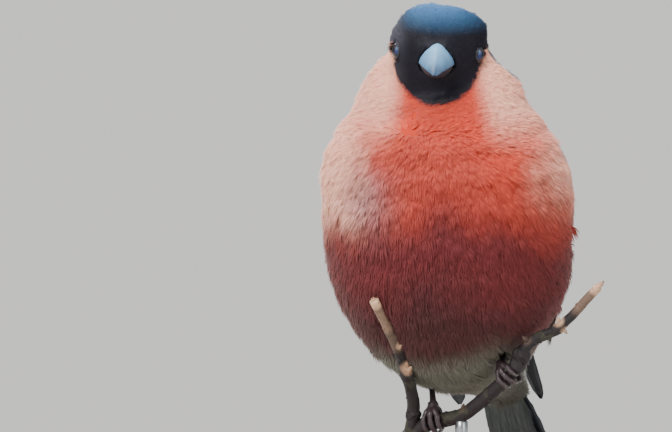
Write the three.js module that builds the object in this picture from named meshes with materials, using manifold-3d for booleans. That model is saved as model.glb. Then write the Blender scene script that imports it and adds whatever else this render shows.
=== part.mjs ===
// A male Eurasian bullfinch, life size and fluffed up, on a cut forked twig that a plain display stand holds.
// Millimetres, +Z up. The origin is the centre of the stand's underside, and the bird looks towards -Y.
import * as THREE from "three";
import { mergeVertices } from "three/addons/utils/BufferGeometryUtils.js";
import Module from "manifold-3d";

const wasm = await Module();
wasm.setup();

// Driving sizes, in millimetres and degrees
const seam = 0.3; // the gap between two parts that touch
const bellyLevel = 44; // the lowest belly feathers over the floor, so that the tip of the tail clears it
const bodyYaw = 24; // the breast points this far to one side of the viewer
const headTurn = 21; // the head turns back towards the viewer
const headRoll = 3.2;
const headPitch = 3;
const bodySides = 28;
const bodyRings = 22;
const headSides = 24;
const headRings = 13;
const bodySquareness = 2.1;
const headSquareness = 2.05;
const crownSquareness = 2.7;

// The trunk's stations, from inside the head to the root of the tail. front and back are places in the middle plane
// on the breast side and on the back, y running back and z up from the lowest belly feathers. half is the half width
// and shift the lean to the bird's left.
const trunk = [
  { frontY: -3, frontZ: 92, backY: 3, backZ: 94, half: 4, shift: -2 },
  { frontY: -5.5, frontZ: 89, backY: 8.4, backZ: 92.8, half: 9.8, shift: -2 },
  { frontY: -8, frontZ: 85, backY: 10.6, backZ: 89, half: 14.6, shift: -2.2 },
  { frontY: -10.5, frontZ: 80, backY: 12, backZ: 84.5, half: 18.8, shift: -2.2 },
  { frontY: -14.5, frontZ: 75, backY: 13, backZ: 79.5, half: 21.4, shift: -1.9 },
  { frontY: -20.5, frontZ: 70, backY: 14.8, backZ: 75.5, half: 22.6, shift: -1 },
  { frontY: -26.2, frontZ: 64.5, backY: 17, backZ: 70.5, half: 27, shift: -0.2 },
  { frontY: -30, frontZ: 57.5, backY: 19.5, backZ: 64.5, half: 30.6, shift: 0.9 },
  { frontY: -31.5, frontZ: 48, backY: 22.6, backZ: 56, half: 32, shift: 1.9 },
  { frontY: -30.5, frontZ: 37.5, backY: 25, backZ: 47, half: 31.9, shift: 1.6 },
  { frontY: -27, frontZ: 27, backY: 27, backZ: 38.5, half: 30.7, shift: 0.9 },
  { frontY: -21.5, frontZ: 17.5, backY: 29, backZ: 31, half: 28, shift: 0.4 },
  { frontY: -14, frontZ: 9.6, backY: 31, backZ: 24, half: 22.9, shift: -0.7 },
  { frontY: -5, frontZ: 4.2, backY: 33.5, backZ: 17.5, half: 17.2, shift: -1.2 },
  { frontY: 6, frontZ: 1.5, backY: 36.2, backZ: 12.5, half: 12.3, shift: -1.2 },
  { frontY: 17.5, frontZ: 1, backY: 39, backZ: 8, half: 9.6, shift: -1 },
  { frontY: 27, frontZ: 0, backY: 41.5, backZ: 3.5, half: 7.8, shift: -0.5 },
  { frontY: 33, frontZ: -2.6, backY: 43.5, backZ: 0.5, half: 6.2, shift: 0 },
];
const widest = 0.5; // where the trunk is widest, from its front to its back

// The head's stations along the line of the bill, from the nape to the bill's root, round a middle between the eyes
const skull = [
  { ahead: -13.6, half: 4.5, up: 4, down: 3 },
  { ahead: -11, half: 9, up: 8.4, down: 7.5 },
  { ahead: -5.5, half: 12, up: 11.4, down: 11 },
  { ahead: -0.5, half: 12.6, up: 11.8, down: 13 },
  { ahead: 4.5, half: 11.5, up: 10.9, down: 13.2 },
  { ahead: 8.5, half: 9.3, up: 8, down: 11.4 },
  { ahead: 11, half: 6.3, up: 4.6, down: 8.4 },
  { ahead: 12.2, half: 3, up: 1.6, down: 5.2 },
];
const headMiddle = { x: -0.8, y: -3.85, z: 86.6 };
const crownDip = 0.08; // the crown's feathers lie flatter on the bird's left by this share

const bill = { length: 8.8, half: 4.5, rise: 4.9, drop: 3.6, gape: -2.4, root: 8.6, base: 11.6, hook: 3.1 };
const eye = { radius: 2.6, side: 8.9, ahead: 5.6, up: 0, forward: 20 };
const lid = { ring: 2.75, thick: 0.5, out: 1.5 };

// The line down the middle of a folded wing: shares of the way down the trunk, turns from its front and heights over
// it, then places of their own over the root of the tail. swing and lean carry both wings' tips to the bird's right.
const wingOnTrunk = [
  { share: 0.4, turn: 109, swing: 0, out: -4.6 },
  { share: 0.47, turn: 119, swing: 0, out: -3.8 },
  { share: 0.56, turn: 132, swing: 1.5, out: -3.2 },
  { share: 0.67, turn: 142, swing: 4.5, out: -2.2 },
  { share: 0.78, turn: 149, swing: 8, out: -0.2 },
];
const wingPastTrunk = { x: 8.4, lean: 4.8, y: 45, z: 1, out: { x: 0.25, y: 0.7, z: 0.67 } };
const wingWrap = 24;

const tail = { root: { y: 28, z: 12 }, droop: 50, length: 62, notch: 3.5, rootHalf: 2.8, tipHalf: 5.8 };
const vaneThick = 0.55;
const covertStart = 12;

const limbThick = { root: 1.95, tip: 1 };
const shootThick = { root: 1.7, tip: 1.15 };
const base = { radius: 37, thick: 6, bevel: 1.2 };
const rodRadius = 1.6;

const colours = {
  black: { color: 0x14171d, roughness: 0.45 },
  rose: { color: 0xc9563f, roughness: 0.85 },
  grey: { color: 0x7f868c, roughness: 0.8 },
  white: { color: 0xdfe1de, roughness: 0.85 },
  bill: { color: 0x3a3f45, roughness: 0.35 },
  eye: { color: 0x0c0a0a, roughness: 0.05 },
  leg: { color: 0x3c2a2a, roughness: 0.6 },
  bark: { color: 0x4a4038, roughness: 0.9 },
  wood: { color: 0x8a6a48, roughness: 0.5 },
  steel: { color: 0x9a9da0, roughness: 0.35, metalness: 1 },
};

const degrees = THREE.MathUtils.degToRad;
const vector = (x, y, z) => new THREE.Vector3(x, y, z);
const mix = THREE.MathUtils.lerp;

// Shapes and solids

// Every field of a row of stations at a share t of the way along it, on a smooth curve through them
function between(stations, t) {
  const last = stations.length - 1;
  const place = Math.min(Math.max(t, 0), 1) * last;
  const k = Math.min(Math.floor(place), last - 1);
  const u = place - k;
  const at = (i) => stations[Math.min(Math.max(i, 0), last)];
  const made = {};
  for (const field of Object.keys(stations[0])) {
    const [a, b, c, d] = [at(k - 1)[field], at(k)[field], at(k + 1)[field], at(k + 2)[field]];
    const bend = (2 * a - 5 * b + 4 * c - d) * u * u + (3 * b - a - 3 * c + d) * u ** 3;
    made[field] = b + ((c - a) * u + bend) / 2;
  }
  return made;
}

// A closed skin over rings of points with a middle point on each end. twin splits the second half of the ring's
// faces the other way, so that both faces of a thin plate are split alike.
function loft(rings, twin = false) {
  const count = rings[0].length;
  const points = rings.flat();
  const middles = [rings[0], rings.at(-1)].map((ring) =>
    ring.reduce((sum, p) => sum.add(p), vector(0, 0, 0)).divideScalar(count),
  );
  points.push(...middles);
  const index = [];
  for (let r = 0; r + 1 < rings.length; r++) {
    for (let k = 0; k < count; k++) {
      const [a, b] = [r * count + k, r * count + ((k + 1) % count)];
      const [d, c] = [a + count, b + count];
      if (twin && k >= count / 2) index.push(a, b, d, b, c, d);
      else index.push(a, b, c, a, c, d);
    }
  }
  const end = (rings.length - 1) * count;
  for (let k = 0; k < count; k++) {
    const next = (k + 1) % count;
    index.push(points.length - 2, next, k);
    index.push(points.length - 1, end + k, end + next);
  }
  return new THREE.BufferGeometry().setFromPoints(points).setIndex(index);
}

// A closed geometry as a solid, whichever way its faces were wound
function solid(geometry) {
  const bare = new THREE.BufferGeometry().setAttribute("position", geometry.getAttribute("position"));
  bare.setIndex(geometry.index);
  const merged = mergeVertices(bare, 1e-4);
  const vertProperties = new Float32Array(merged.getAttribute("position").array);
  const triVerts = new Uint32Array(merged.index.array);
  const made = new wasm.Manifold(new wasm.Mesh({ numProp: 3, vertProperties, triVerts }));
  if (made.volume() > 0) return made;
  triVerts.reverse();
  return new wasm.Manifold(new wasm.Mesh({ numProp: 3, vertProperties, triVerts }));
}

const placed = (shape, place) => shape.transform(place.elements);
const joined = (shapes) => shapes.reduce((sum, shape) => sum.add(shape));
const inOrder = (shape) => shape.decompose().sort((a, b) => b.volume() - a.volume());
const largest = (shape) => inOrder(shape)[0];

function meshOf(name, shape, look) {
  const made = largest(shape).getMesh();
  const geometry = new THREE.BufferGeometry();
  const position = new Float32Array(made.numVert * 3);
  for (let i = 0; i < made.numVert; i++) {
    const from = i * made.numProp;
    position.set(made.vertProperties.subarray(from, from + 3), i * 3);
  }
  geometry.setAttribute("position", new THREE.BufferAttribute(position, 3));
  geometry.setIndex(new THREE.BufferAttribute(made.triVerts, 1));
  geometry.computeVertexNormals();
  const mesh = new THREE.Mesh(geometry, new THREE.MeshStandardMaterial({ metalness: 0, ...colours[look] }));
  mesh.name = name;
  return mesh;
}

// A round, tapered length along a curve through points, with its radius at each share of the way
function tube(points, radiusAt, sides = 8, steps = 8) {
  const curve = new THREE.CatmullRomCurve3(points, false, "centripetal");
  const frames = curve.computeFrenetFrames(steps);
  const rings = Array.from({ length: steps + 1 }, (_, i) => {
    const middle = curve.getPointAt(i / steps);
    return Array.from({ length: sides }, (_, k) => {
      const turn = (2 * Math.PI * k) / sides;
      const out = frames.normals[i].clone().multiplyScalar(Math.cos(turn));
      out.addScaledVector(frames.binormals[i], Math.sin(turn));
      return middle.clone().addScaledVector(out, radiusAt(i / steps));
    });
  });
  return solid(loft(rings));
}

// A sign-keeping power, for superellipse sections
const power = (x, n) => Math.sign(x) * Math.abs(x) ** n;

// The trunk

// A place on the trunk: a share of the way down it, a turn in degrees from the breast round to a side, and a height
function trunkPoint(share, turn, side = 1, grow = 0) {
  const here = between(trunk, share);
  const front = vector(0, here.frontY, here.frontZ);
  const back = vector(0, here.backY, here.backZ);
  const middle = front.clone().lerp(back, widest);
  const ahead = front.clone().sub(back);
  const depth = ahead.length();
  ahead.normalize();
  const reach = depth * (Math.cos(degrees(turn)) > 0 ? widest : 1 - widest) + grow;
  middle.addScaledVector(ahead, power(Math.cos(degrees(turn)), 2 / bodySquareness) * reach);
  middle.x = here.shift + side * power(Math.sin(degrees(turn)), 2 / bodySquareness) * (here.half + grow);
  return middle;
}

function trunkShape(grow) {
  const rings = Array.from({ length: bodyRings }, (_, r) =>
    Array.from({ length: bodySides }, (_, k) => trunkPoint(r / (bodyRings - 1), (360 * k) / bodySides, 1, grow)),
  );
  return solid(loft(rings));
}

// The head, in its own frame: the bill points along -Y and the middle between the eyes is the origin

function headShape(grow) {
  const rings = Array.from({ length: headRings }, (_, r) => {
    const here = between(skull, r / (headRings - 1));
    return Array.from({ length: headSides }, (_, k) => {
      const turn = (2 * Math.PI * k) / headSides;
      const [reach, squareness] = Math.cos(turn) > 0 ? [here.up, crownSquareness] : [here.down, headSquareness];
      const side = power(Math.sin(turn), 2 / squareness) * (here.half + grow);
      const dip = Math.cos(turn) > 0 ? crownDip * Math.max(Math.sin(turn), 0) : 0;
      const up = power(Math.cos(turn), 2 / squareness) * (reach * (1 - dip) + grow);
      return vector(side, -here.ahead, up);
    });
  });
  return solid(loft(rings));
}

const sphere = (radius, at, across = 20, down = 12) =>
  solid(new THREE.SphereGeometry(radius, across, down).translate(at.x, at.y, at.z));

const eyeMiddle = (side) => vector(side * eye.side, -eye.ahead, eye.up);

function lidRing(side, grow) {
  const facing = vector(side * Math.cos(degrees(eye.forward)), -Math.sin(degrees(eye.forward)), 0);
  const turn = new THREE.Quaternion().setFromUnitVectors(vector(0, 0, 1), facing);
  const ring = new THREE.TorusGeometry(lid.ring, lid.thick + grow, 4, 12).scale(1, 0.94, 1).applyQuaternion(turn);
  const at = eyeMiddle(side).addScaledVector(facing, lid.out);
  return solid(ring.translate(at.x, at.y, at.z));
}

// Short bristly feathers that lie forwards over each nostril
function nostrilTuft(side, k, grow) {
  const spread = 0.9 * k;
  const from = vector(side * (1.6 + spread), -10.4, 2.6 - spread * 0.8);
  const to = vector(side * (1.9 + spread), -14.1 + spread * 0.6, 1.3 - spread);
  const middle = from.clone().lerp(to, 0.5).add(vector(0, -0.3, 0.5));
  return tube([from, middle, to], (t) => 0.75 * (1 - 0.75 * t) + grow, 5, 3);
}

const nostrilTufts = (grow) => joined([1, -1].flatMap((side) => [0, 1, 2].map((k) => nostrilTuft(side, k, grow))));

function headSolid() {
  let made = headShape(0).add(nostrilTufts(0));
  for (const side of [1, -1]) {
    made = made.add(lidRing(side, 0));
    made = made.subtract(sphere(eye.radius + seam, eyeMiddle(side), 12, 8));
  }
  return made;
}

// How narrow the bill is at a share of the way to its tip
const billTaper = (t) => (1 - t ** 3) ** 0.62;

// The upper half of the bill arches down to a hook, and the lower half is a shallow scoop under it
function billHalf(upper) {
  const steps = 8;
  const sides = 12;
  const length = upper ? bill.length : bill.length - 1.6;
  const whole = bill.length + bill.base - bill.root;
  const reach = length + bill.base - bill.root;
  const rings = Array.from({ length: steps + 1 }, (_, i) => {
    const t = Math.sin((i / steps) * (Math.PI / 2)) * 0.985;
    const taper = billTaper(t);
    const sag = bill.hook * (1 - billTaper((t * reach) / whole));
    const half = bill.half * taper;
    const height = (upper ? bill.rise : -bill.drop) * taper ** (upper ? 0.9 : 1.1);
    const floor = bill.gape - sag - (upper ? 0 : seam);
    return Array.from({ length: sides }, (_, k) => {
      const turn = (Math.PI * k) / (sides - 1);
      return vector(Math.cos(turn) * half, -bill.root - t * reach, floor + Math.sin(turn) ** 0.85 * height);
    });
  });
  return solid(loft(rings));
}

// Feathers

// A thin curved plate from root to tip on a surface that frame(u, v, h) gives, wide past its middle and round-ended
const shortOutline = [
  [0, 0.6],
  [0.5, 1],
  [0.9, 0.74],
  [1, 0.3],
];
const longOutline = [
  [0, 0.55],
  [0.35, 0.95],
  [0.72, 1],
  [0.93, 0.66],
  [1, 0.26],
];
const longVane = 35;

function vane(frame, { from, to, wide, thick = vaneThick, tilt = 0, bow = 0 }) {
  const run = Math.hypot(to[0] - from[0], to[1] - from[1]);
  const outline = run > longVane ? longOutline : shortOutline;
  const [acrossU, acrossV] = [-(to[1] - from[1]) / run, (to[0] - from[0]) / run];
  const rings = outline.map(([t, share]) => {
    const [u, v, h] = from.map((start, k) => mix(start, to[k], t));
    const half = (wide * share) / 2;
    const lift = h + bow * Math.sin(Math.PI * t);
    const corner = (edge, face) =>
      frame(u + acrossU * edge * half, v + acrossV * edge * half, lift + edge * tilt + face * (thick / 2));
    return [corner(-1, 1), corner(1, 1), corner(1, -1), corner(-1, -1)];
  });
  return solid(loft(rings, true));
}

const wingStop = ({ share, turn, swing }, side, grow) => trunkPoint(share, turn + side * swing, side, grow);

// The outer face of a folded wing: u runs along its middle line from the bend, v from the lower edge up the back and
// h outwards. Past its ends the line goes straight on.
function wingFrame(side) {
  const stops = wingOnTrunk.map((row) => wingStop(row, side, row.out));
  const outs = wingOnTrunk.map((row) => wingStop(row, side, 1).sub(wingStop(row, side, 0)).normalize());
  const { x, lean, y, z, out } = wingPastTrunk;
  stops.push(vector(side * x - lean, y, z));
  outs.push(vector(side * out.x, out.y, out.z));
  const line = new THREE.CatmullRomCurve3(stops, false, "centripetal");
  const length = line.getLength();
  return (u, v, h) => {
    const share = Math.min(Math.max(u / length, 0), 1);
    const along = line.getTangentAt(share);
    const place = line.getUtoTmapping(share) * (outs.length - 1);
    const k = Math.min(Math.floor(place), outs.length - 2);
    const out = outs[k].clone().lerp(outs[k + 1], place - k);
    out.addScaledVector(along, -out.dot(along)).normalize();
    const across = vector().crossVectors(out, along).multiplyScalar(side);
    const point = line.getPointAt(share).addScaledVector(along, u - share * length);
    point.addScaledVector(across, Math.sin(v / wingWrap) * (wingWrap + h));
    return point.addScaledVector(out, Math.cos(v / wingWrap) * (wingWrap + h) - wingWrap);
  };
}

// The feathers of a folded wing in their tiers, each tier over the roots of the last. Every field gives its value at
// the first feather of the tier, at the wing's lower edge, and at the last one, up the back.
const wingTiers = [
  { count: 5, root: [16, 18], tip: [83, 67], low: [-8, -3.5], end: [-3.5, 1.6], height: [0, 1.1], wide: 7 },
  { count: 4, root: [16, 18], tip: [61, 64], low: [-2, 4.5], end: [0.4, 6.2], height: [1.1, 1.9], wide: 8 },
  { count: 3, root: [22, 24], tip: [62, 50], low: [6.5, 9.5], end: [6, 9], height: [2, 2.7], wide: 8.8 },
  { count: 5, root: [9, 14], tip: [37, 43], low: [-7.8, 9.5], end: [-7.5, 9.5], height: [1.6, 2.9], wide: 8.2 },
  { count: 4, root: [4, 8], tip: [24, 29], low: [-6.5, 7.5], end: [-6.5, 7.5], height: [2.5, 3.4], wide: 8 },
];

function wingVanes(side) {
  const frame = wingFrame(side);
  return wingTiers.flatMap(({ count, root, tip, low, end, height, wide }) =>
    Array.from({ length: count }, (_, k) => {
      const t = k / (count - 1);
      const top = mix(height[0], height[1], t);
      const from = [mix(root[0], root[1], t), mix(low[0], low[1], t), top - 0.9];
      const to = [mix(tip[0], tip[1], t ** 1.2), mix(end[0], end[1], t), top];
      return vane(frame, { from, to, wide, tilt: -0.16 });
    }),
  );
}

// A flat, rounded body that runs along a folded wing
function wingSlab(side, { ends, middle, half, top, bottom }) {
  const frame = wingFrame(side);
  const steps = 10;
  const rings = Array.from({ length: steps + 1 }, (_, i) => {
    const t = i / steps;
    const reach = half * Math.sin(Math.PI * mix(0.1, 0.9, t)) ** 0.6;
    return Array.from({ length: 12 }, (_, k) => {
      const turn = (2 * Math.PI * k) / 12;
      const height = Math.sin(turn) > 0 ? mix(top[0], top[1], t) : bottom;
      return frame(mix(ends[0], ends[1], t), middle + Math.cos(turn) * reach, Math.sin(turn) * height);
    });
  });
  return solid(loft(rings));
}

// The arm under the feathers, and the bed in the soft body feathers that the folded wing lies in
const wingArm = (side) => wingSlab(side, { ends: [0, 52], middle: 0.8, half: 10, top: [2.2, 0.4], bottom: 3.6 });
const wingBed = (side) =>
  wingSlab(side, { ends: [-1, 64], middle: 0.8, half: 14.5, top: [8, 8], bottom: 3.6 + seam });

// The tail's plane: u runs from its root to its tip, v to the bird's left and h up through its back
const tailFrame = (() => {
  const along = vector(0, Math.cos(degrees(tail.droop)), -Math.sin(degrees(tail.droop)));
  const out = vector(0, Math.sin(degrees(tail.droop)), Math.cos(degrees(tail.droop)));
  return (u, v, h) => vector(v, tail.root.y, tail.root.z).addScaledVector(along, u).addScaledVector(out, h);
})();

// Six tail feathers a side, each under the next one in, and the outer ones a little longer, as the notch needs
function tailVanes() {
  const made = [];
  for (const side of [1, -1]) {
    for (let k = 0; k < 6; k++) {
      const t = k / 5;
      const height = -0.1 * k - (side > 0 ? 0 : 0.25);
      const from = [covertStart + 1, side * mix(0.9, tail.rootHalf + 0.3, t), height];
      const to = [tail.length - tail.notch * (1 - t), side * mix(1.6, tail.tipHalf, t), height];
      made.push(vane(tailFrame, { from, to, wide: 6.6, tilt: side * 0.22 }));
    }
  }
  return made;
}

// The fleshy root that the tail feathers grow from
function tailRoot(grow) {
  const root = new THREE.SphereGeometry(1, 10, 8).scale(5.6 + grow, 12 + grow, 2.7 + grow);
  root.rotateX(-degrees(tail.droop));
  const at = tailFrame(7, 0, -0.3);
  return solid(root.translate(at.x, at.y, at.z));
}

// Long soft feathers over or under the root of the tail
function covertVanes({ count, tip, spread, height, wide }) {
  return Array.from({ length: count }, (_, k) => {
    const share = (2 * k) / (count - 1) - 1;
    const above = height - 0.6 * Math.abs(share) * Math.sign(height);
    const from = [covertStart, share * spread, above];
    const to = [tip * (1 - 0.22 * share * share), share * spread * 0.95, above];
    return vane(tailFrame, { from, to, wide, thick: 0.7 });
  });
}
const covertsOver = { count: 3, tip: 31, spread: 3, height: 1.8, wide: 4.6 };
const covertsUnder = { count: 3, tip: 40, spread: 2.8, height: -2.3, wide: 5 };

// The perch, in the frame of the stand. The limb rises to the viewer's right under the bird, and a shoot with a
// broken tip forks off it and passes in front of the belly.

const onPerch = (x, y, z) => vector(x, y, bellyLevel + z);
const twig = {
  foot: onPerch(-13, 5, -16),
  fork: onPerch(-9.5, 3.3, -9.8),
  limb: [onPerch(-5, 1.2, -6.2), onPerch(3.3, -3.7, -4), onPerch(11.5, -9, 2.6)],
  knee: onPerch(16, -12.4, 7),
  reach: [onPerch(19.8, -15.4, 14), onPerch(27, -18.6, 18)],
  tip: onPerch(36.6, -22, 28),
  shoot: [onPerch(-8.6, 0.6, -2), onPerch(-10.6, -6.4, 7), onPerch(-13.2, -12.6, 14)],
  shootTip: onPerch(-18.6, -20.4, 24.8),
};
const limbPoints = [twig.fork, ...twig.limb, twig.knee, ...twig.reach, twig.tip];
const limbRadius = (t) => mix(limbThick.root, limbThick.tip, t ** 1.4);

const knob = (at, radius) => sphere(radius, at, 7, 5);

function branchShape(grow) {
  return joined([
    tube([twig.foot, twig.foot.clone().lerp(twig.fork, 0.5), twig.fork], () => limbThick.root + 0.3 + grow, 7, 3),
    tube(limbPoints, (t) => limbRadius(t) + grow, 7, 18),
    knob(twig.fork, 2.6 + grow),
    knob(twig.knee.clone().lerp(twig.reach[0], 0.55), 2.1 + grow),
    knob(twig.reach[1].clone().add(vector(0.4, -0.4, 0.4)), 1.8 + grow),
    knob(twig.tip, 1.3 + grow),
  ]);
}

function shootShape(grow) {
  const points = [twig.fork, ...twig.shoot, twig.shootTip];
  const shoot = tube(points, (t) => mix(shootThick.root, shootThick.tip, t) + grow, 7, 9);
  return shoot.add(knob(twig.shoot[1].clone().add(vector(-0.4, -0.4, 0)), 1.9 + grow));
}

const perchShape = (grow) => branchShape(grow).add(shootShape(grow));

// Legs and feet, in the bird's frame. Each foot grips the limb at a place of its own.

const grips = [
  { name: "left", side: 1, at: 0.51, heel: vector(15, 2, 12) },
  { name: "right", side: -1, at: 0.13, heel: vector(-7, 5, 7) },
];
const toeThick = 0.85;
const shinThick = 0.75;
const footPad = 1.45;
const footRoomRadius = 5.9;
const footTurn = 6; // the foot stands this far round the limb, towards the breast
const toes = [
  { swing: -1, reach: 1, fan: 0 },
  { swing: 1, reach: 0.86, fan: 2 },
  { swing: 1, reach: 1.1, fan: 0 },
  { swing: 1, reach: 0.92, fan: -2 },
];

// The limb where a foot grips it. round gives a point round the limb: turn 0 is its top and grows to the breast.
function gripOf(grip) {
  const curve = new THREE.CatmullRomCurve3(limbPoints, false, "centripetal");
  const middle = curve.getPointAt(grip.at).applyMatrix4(birdInverse);
  const along = curve.getPointAt(grip.at + 0.02).applyMatrix4(birdInverse).sub(middle).normalize();
  const up = vector(0, 0, 1).addScaledVector(along, -along.z).normalize();
  const ahead = vector().crossVectors(along, up).normalize();
  if (ahead.y > 0) ahead.negate();
  const radius = limbRadius(grip.at);
  return (turn, off, slide) =>
    middle
      .clone()
      .addScaledVector(along, slide)
      .addScaledVector(up, Math.cos(degrees(turn)) * (radius + off))
      .addScaledVector(ahead, Math.sin(degrees(turn)) * (radius + off));
}

const ankleOf = (grip) => gripOf(grip)(footTurn, 2.1, 0);

// The room that the soft belly feathers leave for a foot
const footRoom = (grip) => sphere(footRoomRadius, gripOf(grip)(footTurn, 0.5, 0), 12, 8);

// The pad, toes and claws of a foot
function footShape(grip) {
  const round = gripOf(grip);
  const low = seam + toeThick + 0.05;
  const made = [sphere(footPad, ankleOf(grip), 8, 6)];
  for (const { swing, reach, fan } of toes) {
    const at = (t, off) => round(footTurn + swing * mix(9, 132, t) * reach, off, fan * Math.min(0.17 + t * 1.5, 1));
    const joint = [0, 0.3, 0.55, 0.8, 1].map((t) => at(t, low + 1.1 * (1 - Math.min(t * 2.4, 1))));
    const claw = [0.94, 1.14, 1.34].map((t) => at(t, low - 0.1));
    made.push(tube(joint, (t) => toeThick * (1 - 0.2 * t), 5, 6));
    made.push(tube(claw, (t) => 0.6 * (1 - 0.78 * t), 5, 2));
  }
  return joined(made);
}

// The scaly shin from the belly feathers down to the foot
function shinShape(grip) {
  const ankle = ankleOf(grip);
  const bend = grip.heel.clone().lerp(ankle, 0.5).add(vector(0, 0.8, 0));
  return tube([grip.heel, bend, ankle], (t) => shinThick * (1 + 0.25 * Math.abs(2 * t - 1)), 8, 6);
}

// The stand

function standBase() {
  const { radius, thick, bevel } = base;
  const profile = [
    [0, 0],
    [radius - bevel / 2, 0],
    [radius, bevel / 2],
    [radius, thick - bevel],
    [radius - bevel, thick],
    [0, thick],
  ].map(([x, y]) => new THREE.Vector2(x, y));
  return solid(new THREE.LatheGeometry(profile, 36).rotateX(Math.PI / 2));
}

// An upright rod from the base to inside the perch at a place over the floor
function rodShape(at) {
  const height = at.z - base.thick - seam;
  const rod = new THREE.CylinderGeometry(rodRadius, rodRadius, height, 16).rotateX(Math.PI / 2);
  return solid(rod.translate(at.x, at.y, base.thick + seam + height / 2));
}

// Assembly

const model = new THREE.Group();
const bird = new THREE.Group();
bird.position.set(0, 0, bellyLevel);
bird.rotation.z = -degrees(bodyYaw);
bird.updateMatrix();
const birdInverse = bird.matrix.clone().invert();

const head = new THREE.Group();
head.position.set(headMiddle.x, headMiddle.y, headMiddle.z);
head.rotation.set(degrees(headPitch), degrees(headRoll), degrees(headTurn), "ZXY");
head.updateMatrix();
model.add(bird);
bird.add(head);

const perchCut = placed(perchShape(seam), birdInverse);
const sides = [["left", 1], ["right", -1]];

// The neck and the torso are one form, parted by a thin slanting cut, with a hollow for each arm and the tail's root
const parting = new THREE.BoxGeometry(90, 90, seam).rotateX(degrees(12)).translate(0, 0, 66.5);
const pockets = joined([tailRoot(seam), ...grips.map(footRoom), ...sides.map(([, side]) => wingBed(side))]);
const trunkCut = trunkShape(seam).subtract(pockets);
const eyeRooms = sides.map(([, side]) => sphere(lid.ring + lid.thick + seam, eyeMiddle(side), 14, 8));
const headHollow = joined([headShape(seam), ...eyeRooms, ...sides.map(([, side]) => lidRing(side, seam))]);
const bodyWhole = trunkShape(0)
  .subtract(placed(headHollow, head.matrix))
  .subtract(perchCut)
  .subtract(pockets);
const [torsoSolid, neckSolid] = inOrder(bodyWhole.subtract(solid(parting)));
bird.add(meshOf("torso", torsoSolid, "rose"));
bird.add(meshOf("neck", neckSolid, "rose"));

head.add(meshOf("head", headSolid(), "black"));
const billCut = headShape(seam).add(nostrilTufts(seam));
head.add(meshOf("bill_upper", billHalf(true).subtract(billCut), "bill"));
head.add(meshOf("bill_lower", billHalf(false).subtract(billCut), "bill"));
for (const [name, side] of sides) {
  head.add(meshOf(`eye_${name}`, sphere(eye.radius - 0.05, eyeMiddle(side), 14, 9), "eye"));
}

const tailFeathers = [...tailVanes(), ...covertVanes(covertsOver), ...covertVanes(covertsUnder)];
const tailSolid = joined([tailRoot(0), ...tailFeathers]).subtract(trunkCut);
bird.add(meshOf("tail", tailSolid, "black"));

for (const [name, side] of sides) {
  const made = joined([wingArm(side), ...wingVanes(side)]).subtract(trunkCut);
  bird.add(meshOf(`wing_${name}`, made, "black"));
}

for (const grip of grips) {
  const foot = footShape(grip).subtract(perchCut);
  bird.add(meshOf(`foot_${grip.name}`, foot, "leg"));
  const shin = shinShape(grip).subtract(trunkCut).subtract(sphere(footPad + 2 * seam, ankleOf(grip), 10, 6));
  bird.add(meshOf(`leg_${grip.name}`, shin, "leg"));
}

model.add(meshOf("perch_branch", branchShape(0), "bark"));
model.add(meshOf("perch_shoot", shootShape(0).subtract(branchShape(seam)), "bark"));
model.add(meshOf("stand_base", standBase(), "wood"));
model.add(meshOf("stand_rod_a", rodShape(twig.foot).subtract(perchShape(seam)), "steel"));
model.add(meshOf("stand_rod_b", rodShape(twig.limb[1]).subtract(perchShape(seam)), "steel"));

export default model;
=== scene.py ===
"""A male bullfinch, life size and fluffed up, gripping a cut twig on a plain display stand."""

import math

import bmesh
import bpy
import numpy as np
from mathutils import Matrix, Vector
from mathutils.bvhtree import BVHTree


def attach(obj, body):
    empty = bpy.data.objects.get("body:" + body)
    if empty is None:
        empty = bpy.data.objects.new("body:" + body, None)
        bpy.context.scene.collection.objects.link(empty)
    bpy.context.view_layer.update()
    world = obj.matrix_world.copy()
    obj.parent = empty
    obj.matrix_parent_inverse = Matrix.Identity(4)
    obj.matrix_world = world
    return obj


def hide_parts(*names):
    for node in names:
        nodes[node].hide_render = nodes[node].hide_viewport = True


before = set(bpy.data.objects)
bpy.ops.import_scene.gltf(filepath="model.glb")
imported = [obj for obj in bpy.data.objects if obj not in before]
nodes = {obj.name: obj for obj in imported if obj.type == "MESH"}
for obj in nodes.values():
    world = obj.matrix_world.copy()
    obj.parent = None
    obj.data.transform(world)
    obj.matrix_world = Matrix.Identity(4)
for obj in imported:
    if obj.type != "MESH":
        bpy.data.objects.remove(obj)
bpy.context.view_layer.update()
MM = 0.001
draw = np.random.default_rng(41)

# The bird's and the head's own frames, in millimetres, as the solids have them
BELLY_LEVEL = 44.0
BODY_YAW = 24.0
HEAD_MIDDLE = (-0.8, -3.85, 86.6)
HEAD_PITCH, HEAD_ROLL, HEAD_TURN = 3.0, 3.2, 21.0
BILL_ROOT = 11.6
BILL_LEVEL = -1.8


def turned(axis, angle):
    return Matrix.Rotation(math.radians(angle), 4, axis)


bird_frame = Matrix.Translation((0, 0, BELLY_LEVEL)) @ turned("Z", -BODY_YAW)
head_frame = (
    bird_frame
    @ Matrix.Translation(HEAD_MIDDLE)
    @ turned("Z", HEAD_TURN)
    @ turned("X", HEAD_PITCH)
    @ turned("Y", HEAD_ROLL)
)


def moved(points, matrix):
    """Points in millimetres, taken through a frame"""
    grid = np.array(matrix)
    return np.asarray(points) @ grid[:3, :3].T + grid[:3, 3]


def into(points, matrix):
    return moved(points, matrix.inverted())


def ramp(value, low, high):
    """0 up to low, 1 from high on, smooth between"""
    t = np.clip((np.asarray(value, float) - low) / (high - low), 0, 1)
    return t * t * (3 - 2 * t)


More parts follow.
